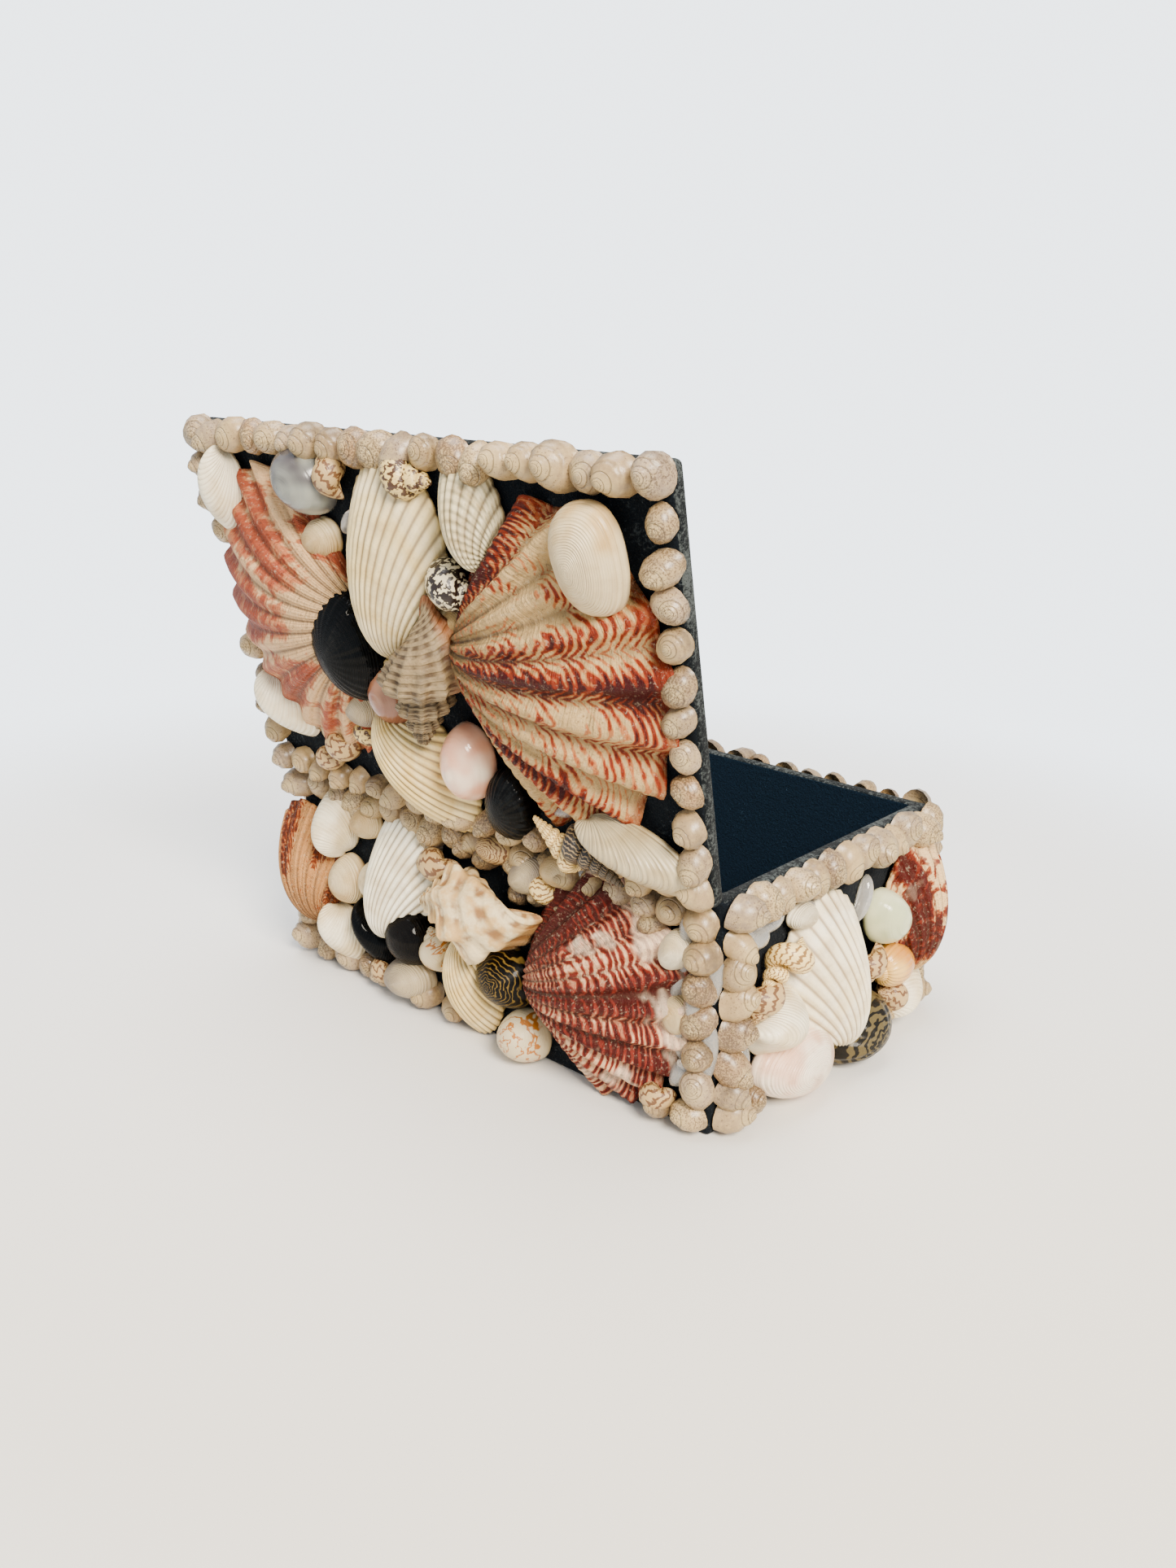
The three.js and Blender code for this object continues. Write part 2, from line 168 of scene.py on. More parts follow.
class Surface:
    """Points, faces and face-corner UVs of one shell, in millimetres, gathered piece by piece."""

    def __init__(self):
        self.points, self.faces, self.uv = [], [], []

    def add_grid(self, grid, u, v, wrap=False, flip=False):
        """Adds rows of points and the faces between them, and gives the first point's index."""
        rows, columns = grid.shape[:2]
        start = len(self.points)
        self.points.extend(grid.reshape(-1, 3))
        last = columns if wrap else columns - 1
        for j in range(rows - 1):
            for i in range(last):
                k = (i + 1) % columns
                corners = [(j, i), (j, k), (j + 1, k), (j + 1, i)]
                if flip:
                    corners.reverse()
                self.faces.append([start + r * columns + c for r, c in corners])
                for r, c in corners:
                    turn = 1.0 if wrap and k == 0 and c == 0 else u[c]
                    self.uv.append((turn, v[r]))
        return start

    def add_fan(self, first, count, tip, u, v, flip=False):
        """Closes a row of points, from the first, with triangles that meet at a tip."""
        self.points.append(np.asarray(tip, float))
        centre = len(self.points) - 1
        for i in range(count):
            k = (i + 1) % count
            corners = [first + i, first + k, centre]
            pairs = [(u[i], v[0]), (u[k] if k else 1.0, v[0]), (u[i], v[1])]
            if flip:
                corners.reverse()
                pairs.reverse()
            self.faces.append(corners)
            self.uv.extend(pairs)

    def arrays(self):
        return np.array(self.points, float), self.faces, self.uv


def grid_normals(grid):
    normal = np.cross(np.gradient(grid, axis=1), np.gradient(grid, axis=0))
    return normal / np.maximum(np.linalg.norm(normal, axis=2, keepdims=True), 1e-9)


def smooth_noise(count, seed, knots):
    """A gentle random wave of the given number of swells, between -1 and 1."""
    rng = np.random.default_rng(seed)
    values = rng.uniform(-1, 1, knots + 2)
    return np.interp(np.linspace(0, knots + 1, count), np.arange(knots + 2), values)


MARGIN = 1.2  # thickness of a valve at its edge


def valve(
    length, width, height, spread, corner, arch, along,
    ribs=0, depth=0.0, lines=0, line_depth=0.0, sharp=1.0, frill=0.0,
):
    """One half of a two-part shell, back outwards, its beak at -x and its edge at +x. Growth
    follows a spiral about the hinge line, so the beak curls over as a real one does."""
    columns = max(40, ribs * 9)
    even = np.linspace(-1, 1, columns + 1)
    t = 0.7 * even + 0.3 * np.sin(even * math.pi / 2)
    reach = np.maximum(np.cos(t * math.pi / 2), 0) ** corner
    angle = t * math.radians(spread)
    edge_x, edge_y = reach * np.cos(angle), reach * np.sin(angle)
    edge_x = edge_x / edge_x.max()
    edge_y = (edge_y - (edge_y.max() + edge_y.min()) / 2) / (edge_y.max() - edge_y.min())
    beak_y = edge_y[0]
    edge_y = edge_y - beak_y
    s = np.linspace(0.03, 1, along + 1)[:, None]
    phi = arch * np.log(1 / s)
    grid = np.zeros((along + 1, columns + 1, 3))
    grid[..., 0] = s * np.cos(phi) * edge_x
    grid[..., 1] = s * edge_y
    grid[..., 2] = s * np.sin(phi) * edge_x
    grid *= np.array([length, width, (height - MARGIN) / grid[..., 2].max()])
    normal = grid_normals(grid)
    if normal[along // 2, columns // 2, 2] < 0:
        normal = -normal
    fade = np.clip((1 - np.abs(t)) * 5, 0, 1)
    raise_by = np.zeros((along + 1, columns + 1))
    if ribs:
        wave = np.cos(t * ribs * math.pi + (0 if ribs % 2 else math.pi))
        wave = np.sign(wave) * np.abs(wave) ** sharp
        raise_by += depth * wave * fade * s**0.8
        grid[..., :2] *= (1 + frill * wave * fade * s**8)[..., None]
    if lines:
        wobble = 0.35 * smooth_noise(along + 1, 1, 9)[:, None]
        ripple = np.sin((s * lines + wobble) * 2 * math.pi)
        raise_by += line_depth * ripple * s**0.5
    raise_by += smooth_noise(columns + 1, 8, 6)[None, :] * 0.02 * height * s
    grid = grid + normal * raise_by[..., None] + np.array([-length / 2, width * beak_y, MARGIN])
    made = Surface()
    u = (t + 1) / 2
    v = s[:, 0]
    first = made.add_grid(grid, u, v)
    under = grid[-1] * np.array([0.97, 0.97, 1.0])
    under[:, 2] = np.maximum(under[:, 2] - MARGIN, 0.0)
    skirt = made.add_grid(np.stack([grid[-1], under]), u, [1.0, 1.0])
    made.add_fan(skirt + columns + 1, columns + 1, (0, 0, 0.2), u, (1.0, 1.0))
    made.add_fan(first, columns + 1, grid[0].mean(0), u, (v[0], 0.0), flip=True)
    return made


def dome(length, width, height, taper=0.1, squareness=2.0, ribs=0, depth=0.0, rings=16, sides=40):
    """A smooth rounded back, as of a cowrie or a worn shell, its narrow end at -x."""
    sides = max(sides, ribs * 6)
    angle = np.linspace(0, 2 * math.pi, sides, endpoint=False)
    share = np.sin(np.linspace(0.02, 1, rings + 1) * math.pi / 2)[:, None]
    c, s = np.cos(angle), np.sin(angle)
    power = 2 / squareness
    outline_x = np.sign(c) * np.abs(c) ** power
    outline_y = np.sign(s) * np.abs(s) ** power * (1 + taper * c)
    grid = np.zeros((rings + 1, sides, 3))
    grid[..., 0] = share * outline_x * length / 2
    grid[..., 1] = share * outline_y * width / 2
    grid[..., 2] = height * (0.86 * (1 - share**2) ** 0.5 + 0.14)
    if ribs:
        grid *= 1 + depth * np.cos(ribs * angle)[None, :, None] * share[..., None] ** 2
    made = Surface()
    u = angle / (2 * math.pi)
    v = share[:, 0]
    first = made.add_grid(grid, u, v, wrap=True, flip=True)
    base = grid[-1].copy()
    base[:, :2] *= 0.86
    base[:, 2] = 0
    skirt = made.add_grid(np.stack([grid[-1], base]), u, [1.0, 1.0], wrap=True, flip=True)
    made.add_fan(skirt + sides, sides, (0, 0, 0), u, (1, 1), flip=True)
    made.add_fan(first, sides, (0, 0, height), u, (0, 0))
    return made


def rounded(corners):
    """A closed outline with its corners cut twice, which makes it smooth."""
    outline = np.array(corners, float)
    for _ in range(2):
        following = np.roll(outline, -1, axis=0)
        outline = np.stack([0.75 * outline + 0.25 * following, 0.25 * outline + 0.75 * following], 1)
        outline = outline.reshape(-1, 2)
    return outline


# Outlines of one whorl as pairs: along the axis from the whorl's own middle, and out from the axis.
SPINDLE = [
    (-0.56, 0.5), (-0.4, 0.86), (-0.2, 1.02), (0.1, 0.98), (0.4, 0.82), (0.68, 0.56), (0.92, 0.36),
    (1.12, 0.26), (1.2, 0.04), (0.9, -0.05), (0.5, 0.0), (-0.3, 0.15),
]
STOUT = [
    (-0.5, 0.55), (-0.42, 0.9), (-0.2, 1.06), (0.15, 1.0), (0.55, 0.78), (0.95, 0.42), (1.2, 0.2),
    (1.15, -0.05), (0.5, -0.05), (-0.3, 0.15),
]
GLOBE = [
    (-0.6, 0.3), (-0.5, 0.72), (-0.1, 1.0), (0.35, 0.96), (0.7, 0.66), (0.82, 0.25), (0.6, -0.1),
    (0.0, -0.15), (-0.45, 0.0),
]
TURRET = [
    (-0.5, 0.5), (-0.3, 0.86), (0.0, 1.0), (0.3, 0.9), (0.55, 0.55), (0.5, 0.1), (0.0, 0.0), (-0.4, 0.15),
]


def coil(
    length, width, height, outline=GLOBE, whorls=4.0, growth=1.9, spire=1.0, ribs=0, depth=0.0,
    cords=0, cord_depth=0.0, steps=30, spin=205.0, knobs=0.0, flare=0.0,
):
    """A coiled shell lying on its side, tip at -x. One outline is swept round the axis, growing
    by the same share each turn, and coils to the right as nearly all snails do."""
    ring = rounded(outline)
    around = len(ring)
    axial, radial = ring[:, 0], ring[:, 1]
    u = np.arange(around) / around
    outer = np.clip((radial - 0.35) / 0.5, 0, 1)
    shoulder = np.exp(-(((axial + 0.22) / 0.28) ** 2)) * outer
    count = int(whorls * steps)
    theta = np.linspace(-2 * math.pi * whorls, 0, count + 1)
    size = growth ** (theta / (2 * math.pi))
    lift_by = np.zeros((count + 1, around))
    if ribs:
        rib = (0.5 + 0.5 * np.cos(ribs * theta))[:, None] ** 1.5
        lift_by += rib * (depth * outer + knobs * shoulder)[None, :]
    if cords:
        lift_by += cord_depth * np.cos(cords * 2 * math.pi * u)[None, :] * outer[None, :]
    lip = np.clip(1 + theta / 0.7, 0, 1)[:, None]
    lift_by += flare * lip**2 * outer[None, :]
    wobble = 1 + 0.012 * smooth_noise(count + 1, 3, count // 6)[:, None]
    out = (radial[None, :] + lift_by) * size[:, None] * wobble
    along = (axial[None, :] + spire + 0.25 * lift_by) * size[:, None]
    grid = np.zeros((count + 1, around, 3))
    grid[..., 0] = along
    grid[..., 1] = out * np.cos(theta)[:, None]
    grid[..., 2] = out * np.sin(theta)[:, None]
    flat = turned(grid.reshape(-1, 3), spin, "x")
    low, high = flat.min(0), flat.max(0)
    flat = (flat - (low + high) / 2) * np.array([length, width, height]) / (high - low)
    flat[:, 2] += height / 2
    grid = flat.reshape(grid.shape)
    made = Surface()
    v = (theta - theta[0]) / (2 * math.pi)
    first = made.add_grid(grid, u, v, wrap=True)
    made.add_fan(first, around, grid[0].mean(0), u, (v[0], v[0]), flip=True)
    inner = grid[-1].mean(0) + (grid[-1] - grid[-1].mean(0)) * 0.86
    deep = grid[-5].mean(0) + (grid[-5] - grid[-5].mean(0)) * 0.6
    mouth = made.add_grid(np.stack([grid[-1], inner, deep]), u, [v[-1]] * 3, wrap=True)
    made.add_fan(mouth + 2 * around, around, deep.mean(0), u, (v[-1], v[-1]))
    return made


SNAIL_LEAN = 0.12  # how far a button snail's tip leans off its middle, as a share of its height


def snail_back(height, cap, sides=14):
    """A little button snail one unit across, seen from above its tip: a fat outer whorl with a
    smaller one raised in its middle."""
    angle = np.linspace(0, 2 * math.pi, sides, endpoint=False)
    share = np.array([0.16, 0.36, 0.48, 0.72, 0.93, 1.0])[:, None]
    profile = np.array([0.95 + cap / 2, 0.86 + cap / 2, 0.86, 0.76, 0.42, 0.0])[:, None]
    z = height * profile * np.ones((1, sides))
    grid = np.zeros((len(share), sides, 3))
    grid[..., 0] = share * np.cos(angle) * (1.03 - 0.05 * np.cos(angle - 0.6)) / 2 + SNAIL_LEAN * z
    grid[..., 1] = share * np.sin(angle) * 0.87 / 2
    grid[..., 2] = z
    grid[-1, :, :2] *= 0.86
    made = Surface()
    made.add_grid(grid, angle / (2 * math.pi), share[:, 0], wrap=True, flip=True)
    tip = height * (1.0 + cap / 2)
    made.add_fan(0, sides, (SNAIL_LEAN * tip, 0, tip), angle, (0, 0))
    points, faces, _ = made.arrays()
    faces = [tuple(face) for face in faces] + [tuple((len(share) - 1) * sides + i for i in range(sides))]
    flat = [(points[i][0] + 0.5, points[i][1] + 0.5) for face in faces for i in face]
    return points, faces, flat


# Shaders

PER_MM = 1000.0  # Object coordinates are in metres


def calculation(operation, swapped=False):
    """A method that works out a sum with a Value by a math node."""

    def work(self, other):
        values = (other, self) if swapped else (self, other)
        return self.shader.math(operation, *values)

    return work


class Value:
    """A number in a shader, from a node's output, that adds and multiplies as numbers do."""

    __add__, __radd__ = calculation("ADD"), calculation("ADD", swapped=True)
    __sub__, __rsub__ = calculation("SUBTRACT"), calculation("SUBTRACT", swapped=True)
    __mul__, __truediv__, __pow__ = calculation("MULTIPLY"), calculation("DIVIDE"), calculation("POWER")

    def __init__(self, shader, socket):
        self.shader, self.socket = shader, socket


def feed(tree, socket, value):
    """Gives a socket a link from an output, a hex colour or a plain value."""
    if isinstance(value, Value):
        value = value.socket
    if isinstance(value, bpy.types.NodeSocket):
        tree.links.new(value, socket)
    elif isinstance(value, str) and value.startswith("#"):
        socket.default_value = hexcolour(value)
    else:
        socket.default_value = value


def node(tree, kind, inputs=None, **settings):
    """Adds a node, sets its properties, and feeds its inputs."""
    made = tree.nodes.new(kind)
    for key, value in settings.items():
        setattr(made, key, value)
    for key, value in (inputs or {}).items():
        feed(tree, made.inputs[key], value)
    return made


class Shader:
    """A material being built: its tree, its principled shader, and short ways to reach them."""

    def __init__(self, name, **principled):
        self.material = bpy.data.materials.new(name)
        self.material.use_nodes = True
        self.tree = self.material.node_tree
        self.tree.nodes.clear()
        self.out = node(self.tree, "ShaderNodeOutputMaterial")
        self.shader = node(self.tree, "ShaderNodeBsdfPrincipled", principled)
        self.tree.links.new(self.shader.outputs[0], self.out.inputs["Surface"])
        coordinates = node(self.tree, "ShaderNodeTexCoord").outputs
        self.object = coordinates["Object"]
        split = node(self.tree, "ShaderNodeSeparateXYZ", {0: coordinates["UV"]}).outputs
        self.u, self.v = Value(self, split[0]), Value(self, split[1])

    def number(self, kind, inputs=None, output=0, **settings):
        return Value(self, node(self.tree, kind, inputs, **settings).outputs[output])

    def math(self, operation, *values):
        return self.number("ShaderNodeMath", dict(enumerate(values)), operation=operation)

    def fold(self, value):
        """A wave that is 0.5 at each whole number and 0 halfway between two."""
        return self.math("ABSOLUTE", self.math("FRACT", value) - 0.5)

    def noise(self, scale, vector=None, detail=3.0, roughness=0.55, distortion=0.0):
        inputs = {
            "Vector": vector or self.object, "Scale": scale, "Detail": detail, "Roughness": roughness,
            "Distortion": distortion,
        }
        return self.number("ShaderNodeTexNoise", inputs, "Fac")

    def grain(self, x, y, seed=0.0, **more):
        """Noise on the shell's own directions, each stretched by its own share."""
        return self.noise(1.0, self.vector(x, y, seed), **more)

    def ramp(self, value, *stops):
        made = node(self.tree, "ShaderNodeValToRGB", {0: value})
        elements = made.color_ramp.elements
        while len(elements) < len(stops):
            elements.new(0.5)
        for element, (place, colour) in zip(elements, stops):
            element.position = place
            element.color = hexcolour(colour)
        return Value(self, made.outputs["Color"])

    def step(self, value, low, high):
        inputs = {"Value": value, "From Min": low, "From Max": high}
        return self.number("ShaderNodeMapRange", inputs, "Result", interpolation_type="SMOOTHSTEP")

    def mix(self, share, first, second):
        inputs = {0: share, 6: first, 7: second}
        return node(self.tree, "ShaderNodeMix", inputs, data_type="RGBA").outputs[2]

    def vector(self, x, y, z=0.0):
        return node(self.tree, "ShaderNodeCombineXYZ", {0: x, 1: y, 2: z}).outputs[0]

    def worn(self, colour, share=0.3):
        """Uneven tone of an old shell: broad yellowed clouds and small brown specks."""
        clouds = self.step(self.noise(0.16 * PER_MM, detail=4.0, roughness=0.6), 0.42, 0.72)
        specks = self.step(self.noise(1.1 * PER_MM, detail=3.0, roughness=0.7), 0.58, 0.76)
        colour = self.mix(clouds * share, colour, "#7A5C34")
        return self.mix(specks * share, colour, "#5A4630")

    def bump(self, height, distance, strength=1.0):
        inputs = {"Height": height, "Distance": distance, "Strength": strength}
        return node(self.tree, "ShaderNodeBump", inputs).outputs[0]

    def finish(self, colour, roughness=None, normal=None):
        for name, value in (("Base Color", colour), ("Roughness", roughness), ("Normal", normal)):
            if value is not None:
                feed(self.tree, self.shader.inputs[name], value)
        return self.material


def velvet(name, ground, rubbed, wear, sheen):
    """Cotton velvet, a short dense woven pile: no gloss at all, a little pale sheen at a glancing
    view, salt-and-pepper tips of pile, and a grey rubbed look where it is crushed."""
    surface = {"Roughness": 0.95, "Specular IOR Level": 0.05, "Sheen Weight": sheen, "Sheen Roughness": 0.5}
    one = Shader(name, **surface)
    pile = one.noise(1.9 * PER_MM, detail=2.0, roughness=0.8)
    tufts = one.noise(0.9 * PER_MM, detail=4.0, roughness=0.7)
    crushed = one.noise(0.07 * PER_MM, detail=3.0)
    share = tufts * 0.7 + crushed * 0.45 + pile * 0.35
    worn = one.step(share, 0.82 - wear, 1.02 - wear)
    dark = one.mix(0.5, ground, "#05080B")
    colour = one.mix(one.step(pile, 0.34, 0.62), dark, ground)
    colour = one.mix(worn, colour, rubbed)
    rough = pile * 0.6 + tufts * 0.9
    return one.finish(colour, normal=one.bump(rough, 0.0006, 1.0))


def snail_shell(name):
    """Small snail shells, worn and dried: pinkish beige with fine brown flecks and a satin surface,
    with painted shade along the spiral seam and round the foot, and a painted highlight on the raised
    middle."""
    one = Shader(name, **{"Roughness": 0.36, "Specular IOR Level": 0.5})
    tint = one.number("ShaderNodeAttribute", output="Fac", attribute_name="tint")
    base = one.ramp(
        tint,
        (0.0, "#745C42"), (0.18, "#A68A60"), (0.36, "#877258"), (0.52, "#98826A"),
        (0.7, "#B4986C"), (0.86, "#826A50"), (1.0, "#A07C52"),
    )
    up = one.v - 0.5

    def reach(across):
        square = across * across + up * up
        return one.math("SQRT", square) * 2.0

    radius = reach(one.u - 0.5)
    from_tip = one.u - (0.5 + SNAIL_LEAN)
    winding = reach(from_tip)
    angle = one.math("ARCTAN2", up, from_tip) / (2 * math.pi)
    turns = one.math("LOGARITHM", one.math("MAXIMUM", winding, 0.02), 1.6)
    phase = one.math("FRACT", turns + angle + 20.0)
    near = one.math("MINIMUM", phase, 1.0 - phase)
    seam = (1.0 - one.step(near, 0.0, 0.15)) * one.step(1.0 - winding, 0.15, 0.45)
    flecks = one.noise(2.3 * PER_MM, detail=2.0, roughness=0.6)
    blotch = one.noise(0.13 * PER_MM, detail=1.0)
    marks = one.step(flecks + blotch * 0.3 + tint * 0.2, 0.79, 0.88)
    mottle = one.noise(0.8 * PER_MM, detail=4.0, roughness=0.7)
    colour = one.mix(one.step(mottle, 0.4, 0.7) * 0.4, base, "#C6AA73")
    # Painted highlight: each snail is lighter towards its raised middle.
    colour = one.mix(one.step(1.0 - radius, 0.3, 0.8) * 0.4, colour, "#CBB37E")
    colour = one.mix(marks * 0.65, colour, "#402C1A")
    # Painted shade in the spiral seam.
    colour = one.mix(seam * 0.5, colour, "#433423")
    # Painted shade round the foot of each snail, where it meets the panel and its neighbours.
    colour = one.mix(one.step(radius, 0.8, 1.02) * 0.6, colour, "#403222")
    height = mottle * 0.3 - seam * 0.7
    rough = mottle * 0.3 + 0.18
    return one.finish(colour, rough, one.bump(height, 0.00028, 0.8))


def rayed_shell(
    name, colours, ribs, cover=0.5, rays=0.5, chevrons=26.0, bulge=1.7, chevron_share=0.34,
    edge=None, edge_share=0.0, patches=0.0, seed=0.0, umbo_fade=(0.05, 0.4),
    lanes=None, ragged_share=1.45,
):
    """Scallop shell, calcite laid down in fine layers: cream ground with rays of rust that break
    into nested chevrons from rib to rib, rough growth scales, and dirt and painted shade in the grooves."""
    ground, wash, ray, dark, umbo = colours
    one = Shader(name, **{"Roughness": 0.5, "Specular IOR Level": 0.14})
    plane = one.vector(one.u, one.v, seed)
    wobble = (one.noise(5.0, plane, detail=2.0) - 0.5) * 0.5
    across = one.u * float(ribs)
    rib = one.fold(across)
    if lanes:
        shifted = one.u + wobble * 0.03
        lane = one.ramp(
            shifted, *((at, "#" + f"{round(255 * strength):02X}" * 3) for at, strength in lanes),
        )
        fleck = one.grain(across * 0.8, one.v * 5.0, seed, detail=2.0)
        lane = lane + (fleck - 0.5) * 1.1
    else:
        lane = one.step(one.grain((across + wobble) * rays, one.v * 1.3, seed, detail=1.0), 0.42, 0.58)
    ragged = one.grain(across * 0.9, one.v * 16.0, seed + 4, detail=3.0, roughness=0.65)
    phase = one.v**1.15 * chevrons + (rib * 2.0) ** 1.6 * bulge
    phase = phase + one.noise(3.5, plane, detail=4.0) * 6.5
    wave = one.fold(phase) * 2.0
    ink = lane * (0.8 if lanes else 0.62) + one.step(wave, 0.1, 0.9) * chevron_share
    ink = ink + (ragged - 0.5) * ragged_share + (cover - 0.62)
    ink = ink * one.step(one.v, *umbo_fade)
    under = one.mix(one.step(one.v, 0.08, 0.6), umbo, ground)
    dirt = one.noise(0.25 * PER_MM, detail=4.0, roughness=0.65)
    under = one.mix(one.step(dirt, 0.45, 0.75) * 0.45, under, umbo)
    colour = one.mix(one.step(ink, 0.34, 0.48), under, wash)
    colour = one.mix(one.step(ink, 0.5, 0.6), colour, ray)
    colour = one.mix(one.step(ink, 0.66, 0.86), colour, dark)
    if edge:
        fringe = one.v + (ragged - 0.5) * 0.1
        colour = one.mix(one.step(fringe, 0.94, 0.985) * edge_share, colour, edge)
    if patches:
        patch = one.noise(3.4, one.vector(one.u * 1.6, one.v, seed + 2), detail=3.0)
        patch = patch + one.step(one.v, 0.6, 1.0) * 0.16
        colour = one.mix(one.step(patch, 0.62, 0.68) * patches, colour, "#F2D9B8")
    # Painted shade, with some dirt, darkens the grooves between the ribs, more strongly near the beak.
    groove_shade_and_dirt = one.step(rib, 0.3, 0.5)
    near_beak = one.step(1.0 - one.v, 0.1, 0.8)
    colour = one.mix(groove_shade_and_dirt * (0.35 + near_beak * 0.4), colour, "#38241A")
    thread = one.fold(across * 4.0)
    colour = one.mix(one.step(thread, 0.25, 0.5) * (near_beak * 0.4), colour, "#4A3824")
    specks = one.noise(1.3 * PER_MM, detail=3.0, roughness=0.7)
    colour = one.mix(one.step(specks, 0.54, 0.7) * 0.5, colour, "#483627")
    chalk = one.noise(0.9 * PER_MM, detail=4.0, roughness=0.75)
    colour = one.mix(one.step(chalk, 0.55, 0.72) * 0.35, colour, "#D8C8A8")
    scales = one.grain(across * 1.4, one.v * 90.0, seed, detail=3.0)
    riblets = one.math("COSINE", across * (3 * 2 * math.pi))
    height = scales + specks * 0.5 + riblets * 0.12
    return one.finish(colour, normal=one.bump(height, 0.0009, 0.9))


def ribbed_shell(name, ground, tinted, groove_shade_and_dirt, ribs, beads=0.0):
    """Ark or cockle shell: chalky white to ivory, with dirt and painted shade darkening the grooves
    between close ribs, faint rings of growth, and only a little gloss."""
    one = Shader(name, **{"Roughness": 0.5, "IOR": 1.55, "Specular IOR Level": 0.4})
    across = one.u * float(ribs)
    rib = one.fold(across)
    rings = one.grain(one.u * 1.5, one.v * 20.0, detail=3.0)
    broad = one.noise(2.2, one.vector(one.u * 1.2, one.v * 2.5), detail=2.0)
    colour = one.mix(one.step(broad, 0.35, 0.7), ground, tinted)
    colour = one.mix(one.step(rings, 0.45, 0.7) * 0.4, colour, tinted)
    # Painted shade, with some dirt, in the grooves between the ribs.
    colour = one.mix(one.step(rib, 0.26, 0.5) * 0.75, colour, groove_shade_and_dirt)
    colour = one.worn(colour)
    height = rings + one.noise(1.5 * PER_MM) * 0.3
    if beads:
        knots = one.math("SINE", one.v * (beads * 2 * math.pi))
        height = height + knots * 0.6
    return one.finish(colour, normal=one.bump(height, 0.0004, 0.7))


def plain_shell(
    name, ground, tinted, line=None, lines=24.0, line_share=0.35, roughness=0.35, coat=0.0, gloss=0.5
):
    """Clam, cowrie or moon shell: smooth and dense, with faint rings of growth under a satin to
    glossy surface."""
    one = Shader(name, **{"Roughness": roughness, "Specular IOR Level": gloss, "Coat Weight": coat})
    broad = one.noise(0.08 * PER_MM, detail=2.0)
    colour = one.mix(one.step(broad, 0.4, 0.68), ground, tinted)
    wobble = one.noise(2.0, one.vector(one.u, one.v), detail=2.0) * 1.6
    bands = one.math("SINE", one.v * (lines * 6.283) + wobble)
    fine = one.grain(one.u * 2.0, one.v * (lines * 2.3), detail=2.0)
    if line:
        share = one.step(fine, 0.5, 0.72) * line_share
        colour = one.mix(share, colour, line)
        colour = one.mix(one.step(bands, 0.2, 1.0) * (line_share * 0.2), colour, line)
        colour = one.worn(colour, 0.22 if gloss > 0.2 else 0.0)
    height = bands * 0.3 + fine
    return one.finish(colour, normal=one.bump(height, 0.0003, 0.8))


def marked_shell(
    name, ground, mark, scale=(14.0, 30.0), threshold=0.5, zigzag=0.0, roughness=0.3, gloss=0.5, coat=0.0,
):
    """Nerite or small top shell: glossy, pale with dark tents, dashes or zigzag stripes."""
    one = Shader(name, **{"Roughness": roughness, "Specular IOR Level": gloss, "Coat Weight": coat})
    if zigzag:
        fold = one.fold(one.u * scale[0])
        sway = one.noise(5.0, one.vector(one.u * 2.0, one.v), detail=2.0)
        wave = one.fold(one.v * scale[1] + fold * zigzag + sway * 2.5)
        share = one.step(wave, threshold * 0.5 - 0.05, threshold * 0.5 + 0.05)
    else:
        cells = {"Vector": one.object, "Scale": 1.1 * PER_MM}
        spots = one.number("ShaderNodeTexVoronoi", cells, "Distance", feature="F1")
        patches = one.noise(0.75 * PER_MM, detail=2.0, distortion=0.3)
        share = one.step(patches - spots * 0.25, threshold - 0.16, threshold - 0.08)
    colour = one.mix(share, ground, mark)
    fine = one.grain(one.u * 6.0, one.v * 60.0, detail=2.0)
    return one.finish(colour, normal=one.bump(fine, 0.0003, 0.6))


def whelk_shell(name, ground, row, cord, lip, ribs, cords, whorls, row_share=0.8):
    """Dog-whelk or rock snail: dull, knobbly where cords cross ribs, with rows of brown dashes
    in the hollows between them and a band of its own colour along the mouth."""
    one = Shader(name, **{"Roughness": 0.55, "Specular IOR Level": 0.3})
    strand = one.fold(one.u * cords)
    swell = one.fold(one.v * ribs)
    patch = one.noise(0.2 * PER_MM, detail=3.0)
    ridge = one.step(strand, 0.12, 0.32)
    crest = one.step(swell, 0.1, 0.42)
    dash = (1.0 - ridge) * (1.0 - crest * 0.75)
    colour = one.mix(one.step(patch, 0.4, 0.62), ground, cord)
    colour = one.mix(dash * one.step(patch, 0.3, 0.5) * row_share, colour, row)
    mouth = one.step(one.v, whorls - 0.14, whorls - 0.05)
    colour = one.mix(mouth * 0.7, colour, lip)
    colour = one.worn(colour, 0.25)
    height = ridge * 0.7 + one.noise(1.2 * PER_MM) * 0.7
    return one.finish(colour, normal=one.bump(height, 0.0005, 0.8))


def clear_glue(name):
    """Hot-melt glue: a clear rubbery blob with a wet gloss."""
    one = Shader(name, **{"Roughness": 0.12, "IOR": 1.48, "Transmission Weight": 0.75, "Coat Weight": 0.3})
    colour = one.mix(one.noise(0.4 * PER_MM), "#F2F0EA", "#DCD8CF")
    return one.finish(colour, normal=one.bump(one.noise(0.5 * PER_MM), 0.0003, 0.5))


outside_velvet = velvet("cotton_velvet_slate", "#10151A", "#3E4446", 0.02, sheen=0.03)
rubbed_velvet = velvet("cotton_velvet_rubbed", "#0F1315", "#474C4B", 0.12, sheen=0.04)
inside_velvet = velvet("cotton_velvet_navy", "#0B1A27", "#263A4A", -0.04, sheen=0.01)
snail_material = snail_shell("button_snail_shell")
glue_material = clear_glue("hot_melt_glue")


# The larger shells. Each has its panel, in its name, its place from the panel's middle, the way it
# opens in degrees, its size, its height off the panel, and whether it covers the edge snails.

